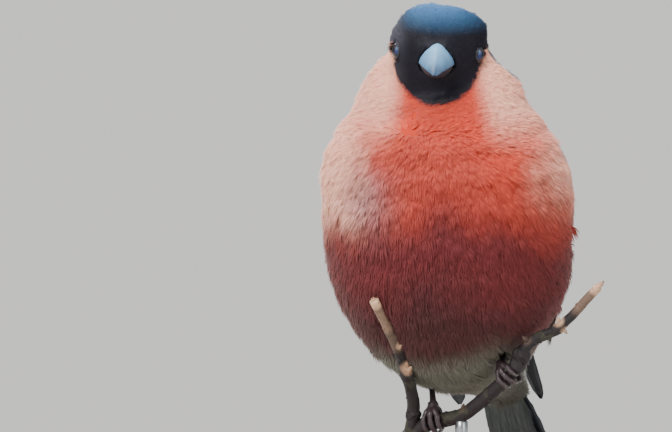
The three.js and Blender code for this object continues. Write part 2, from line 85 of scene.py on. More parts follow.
def waves(points, size, seed):
    """A soft, uneven pattern from -1 to 1 with lumps of about one size"""
    source = np.random.default_rng(seed)
    total = np.zeros(len(points))
    for _ in range(6):
        way = source.normal(size=3)
        way *= 2 * math.pi / size / np.linalg.norm(way) * source.uniform(0.6, 1.5)
        total += np.sin(points @ way + source.uniform(0, 2 * math.pi))
    return total / 3


def unit(ways):
    return ways / np.linalg.norm(ways, axis=-1, keepdims=True)


def square_to(ways, axes):
    """Ways without the part of them that runs along the axes"""
    return ways - axes * np.sum(ways * axes, -1, keepdims=True)


def turned_ways(ways, matrix):
    return ways @ np.array(matrix.to_3x3()).T


def round_turns(count):
    return np.linspace(0, 2 * math.pi, count, endpoint=False)


def grids(*values):
    return np.broadcast_arrays(*(np.asarray(value, float) for value in values))


# Colours

def paint(red, green, blue):
    """A colour from 0 to 255, as linear light"""
    channels = np.array([red, green, blue]) / 255
    return np.where(channels <= 0.04045, channels / 12.92, ((channels + 0.055) / 1.055) ** 2.4)


ROSE_THROAT = paint(213, 66, 42)
ROSE_BREAST = paint(176, 60, 46)
# The next two: the rose lower down, darkened as painted shade on the underside
ROSE_SHADED = paint(104, 36, 39)
ROSE_DEEP_SHADE = paint(68, 31, 33)
# A painted highlight: the rose made pale pink where light grazes the breast's edges and the cheeks
ROSE_HIGHLIGHT = paint(255, 194, 168)
BARED_GREY = paint(170, 122, 122)
CAP_BLACK = paint(30, 28, 37)
# The next two are painted reflections of the sky on the glossy black cap: blue over the crown, pale along its
# top
SKY_SHEEN_BLUE = paint(46, 80, 112)
CROWN_HIGHLIGHT = paint(78, 128, 182)
# Painted light: the black cap's side that faces the key light, greyer
CAP_LIT_SIDE = paint(88, 87, 98)
MANTLE_GREY = paint(112, 118, 124)
RUMP_WHITE = paint(222, 223, 220)
# Painted shade: the white vent as it looks in shade
VENT_SHADED = paint(98, 99, 88)
# Painted shade: the white under-tail feathers as they look in shade
UNDER_TAIL_SHADED = paint(72, 79, 81)
WING_BLACK = paint(26, 27, 36)
BAR_GREY = paint(196, 200, 200)
TERTIAL_RED = paint(140, 52, 44)
GLOSS_BLUE = paint(29, 34, 51)
EDGE_GREY = paint(62, 67, 76)


def blend(below, above, share):
    return below + (above - below) * np.asarray(share)[:, None]


def cap_share(in_head):
    """How far a place on the head belongs to the black cap and face"""
    side, back, up = np.abs(in_head[:, 0]), in_head[:, 1], in_head[:, 2]
    wobble = 0.25 * waves(in_head, 3.0, 5)
    lowest = -2.8 + 4.6 * ramp(back, -6.0, -2.2) + wobble
    behind = 1 - ramp(back + wobble, 10.5, 12.5)
    cap = ramp(up - lowest, -0.4, 0.4) * behind * (1 - ramp(side + wobble, 12.9, 13.7))
    round_bill = np.hypot(side / 11.3, (up + 1.6) / 11.9) + 0.02 * wobble
    bib = (1 - ramp(round_bill, 0.95, 1.0)) * (1 - ramp(back, -4.2, -3.2))
    return np.maximum(cap, bib) * (np.linalg.norm(in_head, axis=1) < 19)


def rose(in_bird, right, lumps, fine):
    """The breast: orange under the chin and rose below, with painted shade deepening it down the belly and at
    its bulging middle, and painted highlights of pale pink at the cheeks and shoulders
    """
    across, back, height = in_bird.T
    # level runs lower at the belly's bulging middle, so that the painted shade reaches higher there
    level = height + 2.0 * lumps + 1.1 * fine - 5.8 * np.exp(-((right / 13) ** 2)) + 0.05 * across
    colour = blend(ROSE_DEEP_SHADE, ROSE_SHADED, ramp(level, 12, 30))
    colour = blend(colour, ROSE_BREAST, ramp(level, 33, 50))
    colour = blend(colour, ROSE_THROAT, ramp(level, 50, 66))
    # Painted highlights: pale pink along the sides of the breast and on the cheeks, where light grazes the
    # feathers
    left_rim_highlight = ramp(1.2 * fine - right, 16, 27) * ramp(height + 2 * lumps, 39, 48)
    right_rim_highlight = ramp(right + 1.2 * fine, 16, 29) * ramp(height + 2 * lumps, 41, 58)
    beside = np.interp(height, [60, 72, 84], [9.5, 8, 5])
    cheek = ramp(height, 58, 74) * ramp(np.abs(right + 2) - beside, 0, 7)
    pale = np.maximum(np.maximum(0.85 * left_rim_highlight, 0.72 * right_rim_highlight), 0.85 * cheek)
    colour = blend(colour, ROSE_HIGHLIGHT, pale)
    spot = (right + 20.5) ** 2 / 36 + (height - 48.5 + 0.5 * lumps) ** 2 / 60
    bared = np.exp(-spot) * ramp(-back, 0, 6)
    return blend(colour, BARED_GREY * (1 - 0.25 * np.clip(fine, 0, 1))[:, None], 0.75 * bared)


def plumage(points):
    """The colour of the soft feathers at places in millimetres, and how far they are the glossy cap"""
    in_bird = into(points, bird_frame)
    in_head = into(points, head_frame)
    back, height = in_bird[:, 1], in_bird[:, 2]
    lumps = waves(in_bird, 17, 2)
    fine = waves(in_bird, 6, 3)
    colour = rose(in_bird, points[:, 0], lumps, fine)
    # The white vent is painted grey as in shade, and darker still towards the tail's root where painted shade
    # deepens
    vent = (1 - ramp(height + 1.2 * lumps, 8, 17)) * ramp(back, -16, -7)
    colour = blend(colour, VENT_SHADED * (1 - 0.6 * ramp(back, 4, 20))[:, None], vent)
    start = np.interp(height, [12, 30, 48, 62, 76, 88], [30, 19, 11, 7, 4.5, 1.5])
    mantle = ramp(back + 0.8 * fine - start, -1.5, 1.5) * ramp(height, 8, 16)
    colour = blend(colour, MANTLE_GREY, mantle)
    low = 1 - ramp(height + 0.8 * fine, 24, 29)
    rump = ramp(back, 21, 25) * low * ramp(height - 0.4 * (40 - back), 0, 5)
    colour = blend(colour, RUMP_WHITE, rump)
    black = cap_share(in_head)
    front = 1 - ramp(in_head[:, 1], 3, 10)
    level = in_head[:, 2] - 0.12 * in_head[:, 1] - 0.05 * np.abs(in_head[:, 0])
    # Painted reflection of the sky: blue over the front of the crown and a pale highlight along its top
    dark = blend(CAP_BLACK, SKY_SHEEN_BLUE, front * ramp(level, 5.2, 9.4))
    dark = blend(dark, CROWN_HIGHLIGHT, 0.85 * front * ramp(level, 8.2, 12.8))
    # Painted light: the cap is lighter on its side towards the key light
    lit = front * ramp(-in_head[:, 0], 6.5, 11.5) * (0.3 + 0.4 * ramp(in_head[:, 2], -2, 4))
    dark = blend(dark, CAP_LIT_SIDE, lit)
    return blend(colour, 0, black) + dark * black[:, None], black


# Meshes

def linked(name, data):
    made = bpy.data.objects.new(name, data)
    bpy.context.scene.collection.objects.link(made)
    return made


def scaled(bm, factor):
    bmesh.ops.scale(bm, vec=(factor, factor, factor), verts=bm.verts)


def mesh_of(name, bm):
    mesh = bpy.data.meshes.new(name)
    bm.to_mesh(mesh)
    bm.free()
    return mesh


def finish(name, bm, slot, material, *replaces):
    """Makes a piece of a bmesh that is in millimetres and in the row's frame"""
    scaled(bm, MM)
    return dress(name, mesh_of(name, bm), slot, material, *replaces)


def dress(name, mesh, slot, material, *replaces):
    mesh.materials.append(material)
    mesh.polygons.foreach_set("use_smooth", [True] * len(mesh.polygons))
    piece = linked(name, mesh)
    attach(piece, "root")
    if replaces:
        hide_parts(*replaces)
    return piece


def loft(bm, rings):
    """A closed skin over rings of points, drawn out ring by ring from a circle"""
    count = len(rings[0])
    made = bmesh.ops.create_circle(bm, cap_ends=True, radius=1, segments=count)["verts"]
    for vert, place in zip(made, rings[0]):
        vert.co = place
    verts = list(made)
    for ring in rings[1:]:
        edges = [bm.edges.get((made[k], made[(k + 1) % count])) for k in range(count)]
        grown = bmesh.ops.extrude_edge_only(bm, edges=edges)["geom"]
        follow = {}
        for vert in (part for part in grown if isinstance(part, bmesh.types.BMVert)):
            for edge in vert.link_edges:
                other = edge.other_vert(vert)
                if other in made:
                    follow[other] = vert
        made = [follow[vert] for vert in made]
        for vert, place in zip(made, ring):
            vert.co = place
        verts += made
    bm.faces.new(made)
    bmesh.ops.recalc_face_normals(bm, faces=bm.faces)
    return verts


def smooth_line(stops, steps):
    """Evenly spaced points on a smooth line through stops, the way along it there, and shares of the stops"""
    stops = np.asarray(stops, float)
    ends = np.vstack([2 * stops[0] - stops[1], stops, 2 * stops[-1] - stops[-2]])
    points, shares = [], []
    for k in range(len(stops) - 1):
        a, b, c, d = ends[k : k + 4]
        gap = [np.linalg.norm(q - p) ** 0.5 for p, q in ((a, b), (b, c), (c, d))]
        start = ((b - a) / gap[0] - (c - a) / (gap[0] + gap[1]) + (c - b) / gap[1]) * gap[1]
        end = ((c - b) / gap[1] - (d - b) / (gap[1] + gap[2]) + (d - c) / gap[2]) * gap[1]
        for t in np.linspace(0, 1, 60, endpoint=k == len(stops) - 2):
            cubic = (2 * t**3 - 3 * t**2 + 1) * b + (t**3 - 2 * t**2 + t) * start
            points.append(cubic + (3 * t**2 - 2 * t**3) * c + (t**3 - t**2) * end)
            shares.append((k + t) / (len(stops) - 1))
    points = np.array(points)
    lengths = np.concatenate([[0], np.cumsum(np.linalg.norm(np.diff(points, axis=0), axis=1))])
    wanted = np.linspace(0, lengths[-1], steps + 1)
    line = np.stack([np.interp(wanted, lengths, points[:, k]) for k in range(3)], 1)
    way = np.gradient(line, axis=0)
    way /= np.linalg.norm(way, axis=1)[:, None]
    return line, way, np.interp(wanted, lengths, shares), lengths[-1]


def cross_ways(way):
    """Two ways square to a line at each of its points, without a twist"""
    side = np.cross(way[0], (0.3, 0.2, 1.0))
    first, second = [], []
    for step in way:
        side = side - step * (side @ step)
        side /= np.linalg.norm(side)
        first.append(side)
        second.append(np.cross(step, side))
    return np.array(first), np.array(second)


def tube(bm, stops, radius_at, sides, steps, rough=None):
    """A round length along stops: radius_at takes the share of the way, and rough adds to it"""
    line, way, _, _ = smooth_line(stops, steps)
    first, second = cross_ways(way)
    turns = round_turns(sides)
    rings = []
    for i, middle in enumerate(line):
        share = i / steps
        radius = radius_at(share) + (rough(share, turns) if rough else 0)
        out = np.cos(turns)[:, None] * first[i] + np.sin(turns)[:, None] * second[i]
        rings.append(middle + out * np.reshape(radius, (-1, 1)))
    return loft(bm, rings)


# Materials


def feed(tree, socket, value):
    """Gives a socket a value or what another node puts out, and a colour its fourth channel"""
    if isinstance(value, bpy.types.NodeSocket):
        tree.links.new(value, socket)
    else:
        socket.default_value = (*value[:3], 1) if socket.type == "RGBA" else value


def principled(name, roughness, **sockets):
    """A material and its shader. In a socket's name an underscore stands for a space."""
    material = bpy.data.materials.new(name)
    material.use_nodes = True
    tree = material.node_tree
    shader = tree.nodes["Principled BSDF"]
    for socket, value in {"Roughness": roughness, **sockets}.items():
        feed(tree, shader.inputs[socket.replace("_", " ")], value)
    return material, tree, shader


def node(tree, kind, inputs, **settings):
    """The outputs of a new node, with its settings made and its inputs fed by name or number"""
    made = tree.nodes.new("ShaderNode" + kind)
    for name, value in settings.items():
        setattr(made, name, value)
    for key, value in inputs.items():
        feed(tree, made.inputs[key], value)
    return made.outputs


def math_node(tree, kind, *values):
    return node(tree, "Math", dict(enumerate(values)), operation=kind)[0]


def mixed(tree, share, first, second):
    return node(tree, "Mix", {0: share, 6: first, 7: second}, data_type="RGBA")[2]


def noise(tree, vector, scale):
    return node(tree, "TexNoise", {"Scale": scale, "Detail": 3, "Roughness": 0.55, "Vector": vector})["Fac"]


def brighter(tree, colour, share):
    return node(tree, "VectorMath", {0: colour, "Scale": share}, operation="SCALE")[0]


def object_place(tree):
    return node(tree, "TexCoord", {})["Object"]


def stretched(tree, scale):
    return node(tree, "Mapping", {"Vector": object_place(tree), "Scale": scale})[0]


def attribute(tree, name, kind="Fac"):
    return node(tree, "Attribute", {}, attribute_name=name)[kind]


def mottle_group():
    """Fine uneven light and dark over a colour, as on worn feathers, horn and bark"""
    group = bpy.data.node_groups.new("mottle", "ShaderNodeTree")
    sockets = {"Colour": "Color", "Place": "Vector", "Scale": "Float", "Strength": "Float"}
    for label, kind in sockets.items():
        group.interface.new_socket(label, in_out="INPUT", socket_type="NodeSocket" + kind)
    for label, kind in {"Colour": "Color", "Grain": "Float"}.items():
        group.interface.new_socket(label, in_out="OUTPUT", socket_type="NodeSocket" + kind)
    start = group.nodes.new("NodeGroupInput").outputs
    grain = node(group, "TexNoise", {"Detail": 4, "Vector": start["Place"], "Scale": start["Scale"]})["Fac"]
    lift = math_node(group, "MULTIPLY", math_node(group, "SUBTRACT", grain, 0.5), start["Strength"])
    lift = math_node(group, "MULTIPLY_ADD", lift, 2.0, 1.0)
    end = group.nodes.new("NodeGroupOutput").inputs
    feed(group, end["Colour"], brighter(group, start["Colour"], lift))
    feed(group, end["Grain"], grain)
    return group


MOTTLE = mottle_group()


def mottled(tree, shader, colour, scale, strength):
    """Feeds a mottled colour to a shader and gives its grain"""
    inputs = {"Colour": colour, "Place": object_place(tree), "Scale": scale, "Strength": strength}
    made = node(tree, "Group", inputs, node_tree=MOTTLE)
    feed(tree, shader.inputs["Base Color"], made["Colour"])
    return made["Grain"]


def bumped(tree, shader, height, strength, distance):
    bump = node(tree, "Bump", {"Height": height, "Strength": strength, "Distance": distance})[0]
    feed(tree, shader.inputs["Normal"], bump)


def soft_feather(name, dust, tint, shine):
    """Loose barbs that catch light at the edges, and that shine a little where the cap is glossy"""
    sheen = {"Sheen_Weight": dust, "Sheen_Roughness": 0.45, "Sheen_Tint": tint}
    material, tree, shader = principled(name, 0.8, Specular_IOR_Level=shine, **sheen)
    mottled(tree, shader, attribute(tree, "plumage", "Color"), 700, 0.1)
    rough = math_node(tree, "MULTIPLY_ADD", attribute(tree, "gloss"), -0.32, 0.8)
    feed(tree, shader.inputs["Roughness"], rough)
    return material


def vane_feather():
    """Flight and tail feathers: fine slanting barbs on both sides of the shaft"""
    coat = {"Coat_Weight": 0.06, "Coat_Roughness": 0.3}
    material, tree, shader = principled("vane_feather", 0.46, Specular_IOR_Level=0.32, **coat)
    place = node(tree, "UVMap", {}, uv_map="vane")[0]
    across, along, _ = node(tree, "SeparateXYZ", {0: place})
    slant = math_node(tree, "MULTIPLY_ADD", math_node(tree, "ABSOLUTE", across), -0.9, along)
    barbs = math_node(tree, "SINE", math_node(tree, "MULTIPLY", slant, 42.0))
    barbs = math_node(tree, "MULTIPLY", barbs, noise(tree, place, 3.0))
    shade = math_node(tree, "MULTIPLY_ADD", barbs, 0.22, 1.0)
    mottled(tree, shader, brighter(tree, attribute(tree, "plumage", "Color"), shade), 500, 0.2)
    bumped(tree, shader, barbs, 0.35, 0.00006)
    return material


def plain_horn(name, colour, tip, roughness, scale):
    """Horn of the claws and skin of the lids: a colour that mottles towards another"""
    material, tree, shader = principled(name, roughness, Coat_Weight=0.25, Coat_Roughness=0.12)
    colours = mixed(tree, noise(tree, object_place(tree), scale), colour, tip)
    bumped(tree, shader, mottled(tree, shader, colours, scale * 3, 0.2), 0.15, 0.00005)
    return material


SOFT = soft_feather("soft_feather", 0.4, (1.0, 0.86, 0.78), 0.25)
DARK_SOFT = soft_feather("dark_soft_feather", 0.06, (0.8, 0.88, 1.0), 0.1)
DOWN = soft_feather("down", 0.03, (0.9, 0.88, 0.9), 0.1)
VANE = vane_feather()

# The skin under the feathers

EYE_SIDE, EYE_AHEAD, EYE_UP, EYE_RADIUS, EYE_FORWARD = 8.9, 5.6, 0.0, 2.55, 20.0
BILL_BASE = moved([(0, -BILL_ROOT, BILL_LEVEL)], head_frame)[0]
# The skin's depth as a share of the feathers' length, and in millimetres how far the solids swell until they
# run together, the grain of the skin's mesh and the reach of the head from its middle
SKIN_DEPTH = 0.17
SWELL = 1.0
SKIN_GRAIN = 0.8
HEAD_REACH = 17


def feather_length(points):
    """The soft feathers' length, short at the bill and long on the belly and flanks"""
    away = np.linalg.norm(points - BILL_BASE, axis=1)
    return np.interp(away, [0, 4, 9, 16, 28, 48, 80], [0.8, 1.0, 1.5, 2.6, 3.7, 4.9, 5.6])


def coat_depth(points):
    """How far the skin lies under the feathers' outer face"""
    return SKIN_DEPTH * feather_length(points)


def merged_copy(names, grow=0.0):
    """Copies of solids with their loose triangles merged, swollen a little so that neighbours run together"""
    bm = bmesh.new()
    for name in names:
        part = bmesh.new()
        part.from_mesh(nodes[name].data)
        bmesh.ops.remove_doubles(part, verts=part.verts, dist=1e-6)
        part.normal_update()
        for vert in part.verts:
            vert.co += vert.normal * grow * MM
        copy = mesh_of("copy", part)
        bm.from_mesh(copy)
        bpy.data.meshes.remove(copy)
    return bm


def softened(bm, rounds, factor):
    axes = {"use_axis_x": True, "use_axis_y": True, "use_axis_z": True}
    for _ in range(rounds):
        bmesh.ops.smooth_vert(bm, verts=bm.verts, factor=factor, **axes)
    bm.normal_update()


def remeshed(bm):
    """One closed skin over what a bmesh holds, in millimetres"""
    shape = linked("skin_shape", mesh_of("skin", bm))
    wrap = shape.modifiers.new("wrap", "REMESH")
    wrap.mode = "VOXEL"
    wrap.voxel_size = SKIN_GRAIN * MM
    done = bpy.data.meshes.new_from_object(shape.evaluated_get(bpy.context.evaluated_depsgraph_get()))
    bpy.data.objects.remove(shape)
    bm = bmesh.new()
    bm.from_mesh(done)
    scaled(bm, 1 / MM)
    softened(bm, 6, 0.5)
    return bm


def bird_skin():
    """Head, neck and torso swollen until they run together, then drawn in again by the feathers' depth"""
    bm = remeshed(merged_copy(["head", "neck", "torso"], SWELL))
    places = np.array([vert.co for vert in bm.verts])
    normals = np.array([vert.normal for vert in bm.verts])
    in_head = into(places, head_frame)
    x, y, z = in_head.T
    on_head = np.linalg.norm(in_head, axis=1) < HEAD_REACH
    beside = ramp(x, 11.2, 14.0) * ramp(z, -6.0, 0.0) * ramp(y, -6.0, 0.0)
    ridge = 0.35 * np.exp(-(((x + 4) / 4.5) ** 2))
    crown = ramp(z, 3.0, 7.0) * on_head * (ridge - 0.4 * ramp(-x, 8.0, 11.0))
    temple = ramp(x, 5.5, 12.0) * ramp(z, -1.0, 3.0) * np.exp(-(((y - 1) / 4.5) ** 2))
    crown += 1.2 * temple * (1 - 0.6 * ramp(z, 5.0, 9.0)) * on_head
    places -= normals * (coat_depth(places) + SWELL + 2.2 * beside - crown)[:, None]
    for vert, place in zip(bm.verts, places):
        vert.co = place
    softened(bm, 3, 0.4)
    return bm


def unwrapped(piece):
    """Lays the skin flat, in a map that the feathers' own patches share"""
    piece.data.uv_layers.new(name="OFBake")
    bpy.context.view_layer.objects.active = piece
    piece.select_set(True)
    bpy.ops.object.mode_set(mode="EDIT")
    bpy.ops.mesh.select_all(action="SELECT")
    bpy.ops.uv.smart_project(angle_limit=math.radians(66), island_margin=0.004)
    bpy.ops.object.mode_set(mode="OBJECT")
    piece.select_set(False)


def read_all(parts, what, width, kind=np.float64):
    """One value of all of a mesh's parts, a row for each"""
    values = np.empty(len(parts) * width, kind)
    parts.foreach_get(what, values)
    return values.reshape(-1, width)


def point_values(mesh, name, values):
    mesh.attributes.new(name, "FLOAT", "POINT").data.foreach_set("value", values.astype(np.float32))


def coloured(mesh, colours, gloss):
    layer = mesh.color_attributes.new("plumage", "FLOAT_COLOR", "POINT")
    solid = np.ones((len(colours), 1))
    layer.data.foreach_set("color", np.hstack([colours, solid]).astype(np.float32).ravel())
    point_values(mesh, "gloss", gloss)


skin = finish("skin", bird_skin(), "rose_feathers", DOWN, "head", "neck", "torso")
unwrapped(skin)
skin_points = read_all(skin.data.vertices, "co", 3) / MM
skin_colours, skin_gloss = plumage(skin_points)
# The skin takes the plumage colour darkened, painted shade for where it shows deep between the feathers
coloured(skin.data, skin_colours * 0.8, skin_gloss)

# The soft feathers

BARBS = 17
KINDS = 10
PATCH = 0.003
SOWN = 90000
EYE_MIDDLES = moved([(s * EYE_SIDE, -EYE_AHEAD, EYE_UP) for s in (1, -1)], head_frame)
FORWARD = math.radians(EYE_FORWARD)
EYE_FACINGS = [
    np.array(head_frame.to_3x3() @ Vector((s * math.cos(FORWARD), -math.sin(FORWARD), 0))) for s in (1, -1)
]
TAIL_ROOT = np.array([0.0, 28.0, 12.0])
BARB_FACES = np.array([(0, 1, 3), (0, 3, 2), (2, 3, 4)])
# How far a tuft's barbs fan out to either side, in degrees, and a barb's half widths as shares of its length
FAN = 82
ROOT_HALF, BARB_HALF = 0.022, 0.026


def tuft(barbs, wide, loose, thin=1.0):
    """One soft feather, a unit long and lying along +Y: narrow barbs that fan out to a rounded end"""
    points, triangles, along = [], [], []
    for turn in np.linspace(-FAN, FAN, barbs) + draw.uniform(-4, 4, barbs):
        a = math.radians(turn)
        far = 1 + draw.uniform(-0.12, 0.08)
        x, y = wide * math.sin(a) * far, (0.6 + 0.4 * math.cos(a)) * far
        tip = np.array([x, y, draw.uniform(-0.02, loose)])
        root = np.array([0.0, tip[1] * draw.uniform(0.02, 0.3), 0.0])
        middle = (root + tip) / 2 + np.array([0.07 * math.sin(a) * wide / 0.3, -0.02, 0.05 * loose / 0.16])
        way = tip - root
        across = np.array([way[1], -way[0], 0.0]) / np.hypot(way[0], way[1]) * thin
        low, high = across * ROOT_HALF, across * BARB_HALF
        triangles.append(BARB_FACES + len(points))
        points += [root - low, root + low, middle - high, middle + high, tip]
        along += [root[1], root[1], middle[1], middle[1], tip[1]]
    return np.array(points), np.concatenate(triangles), np.array(along)


def lie_of_feathers(places, normals):
    """The way that feathers lie: from the bill over the head, and from the neck to the root of the tail"""
    in_head = into(places, head_frame)
    over_head = turned_ways(unit(in_head - (0, -BILL_ROOT - 2, BILL_LEVEL)), head_frame)
    over_body = turned_ways(unit(TAIL_ROOT + (0, 12, -9) - into(places, bird_frame)), bird_frame)
    share = 1 - ramp(np.linalg.norm(in_head, axis=1), 11, 20)
    lie = square_to(over_body + (over_head - over_body) * share[:, None], normals)
    return lie / np.maximum(np.linalg.norm(lie, axis=1), 1e-6)[:, None]


def spacing(points):
    return 0.155 * feather_length(points) + 0.2


def sown(mesh):
    """Places on the skin, at least the spacing there apart, with their normals and places on the unwrap"""
    mesh.calc_loop_triangles()
    corner = read_all(mesh.loop_triangles, "vertices", 3, np.int32)
    loops = read_all(mesh.loop_triangles, "loops", 3, np.int32)
    laid = read_all(mesh.uv_layers["OFBake"].data, "uv", 2, np.float32)[loops]
    facing = read_all(mesh.vertices, "normal", 3, np.float32)[corner]
    points = skin_points[corner]
    area = np.linalg.norm(np.cross(points[:, 1] - points[:, 0], points[:, 2] - points[:, 0]), axis=1)
    weight = area / spacing(points.mean(1)) ** 2
    chosen = draw.choice(len(corner), SOWN, p=weight / weight.sum())
    a, b = draw.random((2, SOWN))
    flip = a + b > 1
    a, b = np.where(flip, 1 - a, a), np.where(flip, 1 - b, b)
    shares = np.stack([1 - a - b, a, b], 1)[:, :, None]
    places, normals, flat = ((values[chosen] * shares).sum(1) for values in (points, facing, laid))
    gaps = spacing(places)
    cell = float(gaps.max())
    grid = {}
    kept = []
    steps = [(x, y, z) for x in (-1, 0, 1) for y in (-1, 0, 1) for z in (-1, 0, 1)]
    for i, (at, gap) in enumerate(zip(places, gaps)):
        key = tuple((at // cell).astype(int))
        cells = (grid.get((key[0] + x, key[1] + y, key[2] + z), ()) for x, y, z in steps)
        near = (places[j] for held in cells for j in held)
        if all((p[0] - at[0]) ** 2 + (p[1] - at[1]) ** 2 + (p[2] - at[2]) ** 2 > gap * gap for p in near):
            grid.setdefault(key, []).append(i)
            kept.append(i)
    return places[kept], unit(normals[kept]), flat[kept]


def tree_of(*names):
    bm = merged_copy(names)
    scaled(bm, 1 / MM)
    made = BVHTree.FromBMesh(bm)
    bm.free()
    return made


def bare(places, normals):
    """Which places carry no soft feathers: under a folded wing, at the eyes, the bill and the tail's root"""
    wings = tree_of("wing_left", "wing_right", "tail")
    bill = tree_of("bill_upper", "bill_lower")
    covered = np.zeros(len(places), bool)
    for i, (place, normal) in enumerate(zip(places, normals)):
        hit = wings.ray_cast(Vector(place) - Vector(normal) * 0.3, Vector(normal), 7.0)[0]
        near = bill.find_nearest(Vector(place), 0.55)[0]
        covered[i] = hit is not None or near is not None
    for middle, facing in zip(EYE_MIDDLES, EYE_FACINGS):
        away = places - (middle + facing * 1.0)
        covered |= np.linalg.norm(away - np.outer(away @ facing, facing), axis=1) < 2.35
    return covered


def laid_at(places):
    """The nearest places on the unwrap of the skin"""
    faces = [tuple(face.vertices) for face in skin.data.polygons]
    tree = BVHTree.FromPolygons([tuple(point) for point in skin_points], faces)
    layer = skin.data.uv_layers["OFBake"].data
    starts = [skin.data.polygons[tree.find_nearest(Vector(place))[2]].loop_start for place in places]
    return np.array([layer[start].uv for start in starts])


def feathers(name, slot, kinds, places, normals, lie, length, lift, curve, flat, near, far, gloss):
    """One feather for each place, joined into a piece: lift tips it up and curve bends it down again"""
    tone = draw.uniform(0.955, 1.045, (len(places), 1)) * (1 + draw.normal(0, 0.02, (len(places), 3)))
    near, far = near * tone, far * tone
    which = draw.integers(0, len(kinds), len(places))
    parts, total = [], 0
    for k, (shape, triangles, along) in enumerate(kinds):
        mine = np.nonzero(which == k)[0]
        x, y, z = (shape[:, axis][None, :] * length[mine][:, None] for axis in range(3))
        rise = z + y * np.tan(lift[mine])[:, None] - y * y / (2 * curve[mine][:, None]) - 0.15
        side = np.cross(lie[mine], normals[mine])
        made = places[mine][:, None, :] + x[..., None] * side[:, None, :]
        made = made + y[..., None] * lie[mine][:, None, :] + rise[..., None] * normals[mine][:, None, :]
        starts = total + np.arange(len(mine)) * len(shape)
        faces = triangles[None] + starts[:, None, None]
        reach = np.clip(along, 0, 1)[None, :, None]
        colours = near[mine][:, None, :] * (1 - reach) + far[mine][:, None, :] * reach
        # Painted shade: each feather darker towards its root, where the feathers over it shade it
        colours = colours * (0.91 + 0.11 * reach)
        patch = flat[mine][:, None, :] + (shape[None, :, :2] - (0, 0.5)) * PATCH
        rows = [values.reshape(-1, values.shape[-1]) for values in (made, faces, colours, patch)]
        parts.append((*rows, np.repeat(gloss[mine], len(shape))))
        total += len(mine) * len(shape)
    points, faces, colours, laid, shine = (np.concatenate(values) for values in zip(*parts))
    mesh = bpy.data.meshes.new(name)
    mesh.vertices.add(len(points))
    mesh.vertices.foreach_set("co", (points * MM).ravel())
    mesh.loops.add(faces.size)
    mesh.loops.foreach_set("vertex_index", faces.ravel())
    mesh.polygons.add(len(faces))
    mesh.polygons.foreach_set("loop_start", np.arange(0, faces.size, 3))
    mesh.update(calc_edges=True)
    layer = mesh.uv_layers.new(name="OFBake")
    layer.data.foreach_set("uv", laid[faces.ravel()].astype(np.float32).ravel())
    coloured(mesh, colours, shine)
    dress(name, mesh, slot, DARK_SOFT if slot == "black_feathers" else SOFT)


def coat_piece(name, places, normals, flat, lap, kinds):
    """The soft feathers of one part of the body, longer by lap where they reach over a folded wing"""
    lie = lie_of_feathers(places, normals)
    size = feather_length(places)
    height = into(places, bird_frame)[:, 2]
    lie += np.cross(normals, lie) * draw.normal(0, 0.13, len(places))[:, None]
    ruffled = np.exp(-((places[:, 0] + 20) ** 2 + (height - 48) ** 2) / 40) * (places[:, 1] < 0)
    lift = draw.normal(12, 2.6, len(places)) + 18 * ruffled * draw.uniform(-1, 1, len(places))
    lift = np.radians(lift - 28 * np.maximum(lap - 1, 0) - 1.5 * (size < 2.4))
    curve = np.interp(size, [1, 2, 5], [11, 14, 30])
    length = size * draw.uniform(0.85, 1.18, len(places)) * lap
    slot = "black_feathers" if name in ("coat_cap", "coat_face") else "rose_feathers"
    near, gloss = plumage(places + lie * (0.4 * length)[:, None])
    far, _ = plumage(places + lie * (0.9 * length)[:, None])
    feathers(name, slot, kinds, places, normals, lie, length, lift, curve, flat, near, far, gloss)


def soft_coat():
    """Feathers all over the skin. Each place goes to the first of the regions that holds it."""
    places, normals, flat = sown(skin.data)
    keep = ~bare(places, normals)
    places, normals, flat = places[keep], normals[keep], flat[keep]
    across, back, height = into(places, bird_frame).T
    in_head = into(places, head_frame)
    wings = tree_of("wing_left", "wing_right")
    gaps = np.array([wings.find_nearest(Vector(place), 9)[3] or 9 for place in places])
    lap = 1 + 0.28 * (1 - ramp(gaps, 1.5, 6)) * ramp(height, 26, 34) * (1 - ramp(back, 8, 16))
    lap -= 0.4 * ramp(back, 18, 28) * (1 - ramp(height, 12, 20))
    on_head = (np.linalg.norm(in_head, axis=1) < 15.5) & (cap_share(in_head) > 0.5)
    front = back < 8
    regions = {
        "coat_cap": on_head & (in_head[:, 2] > 0),
        "coat_face": on_head,
        "coat_cheeks": height > 70,
        "coat_shoulders": front & (height > 52),
        "coat_breast": front & (height > 30) & (np.abs(across) < 18),
        "coat_flanks": front & (height > 14) & (np.abs(across) >= 18),
        "coat_belly": front,
        "coat_back": height > 24,
        "coat_vent": height <= 24,
    }
    kinds = [tuft(BARBS, 0.3, 0.16) for _ in range(KINDS)]
    done = np.zeros(len(places), bool)
    for name, held in regions.items():
        mine = held & ~done
        done |= mine
        coat_piece(name, places[mine], normals[mine], flat[mine], lap[mine], kinds)


soft_coat()

# The trunk, which the wings follow, from the head down: the places of breast and back in the middle plane,
# half width and lean

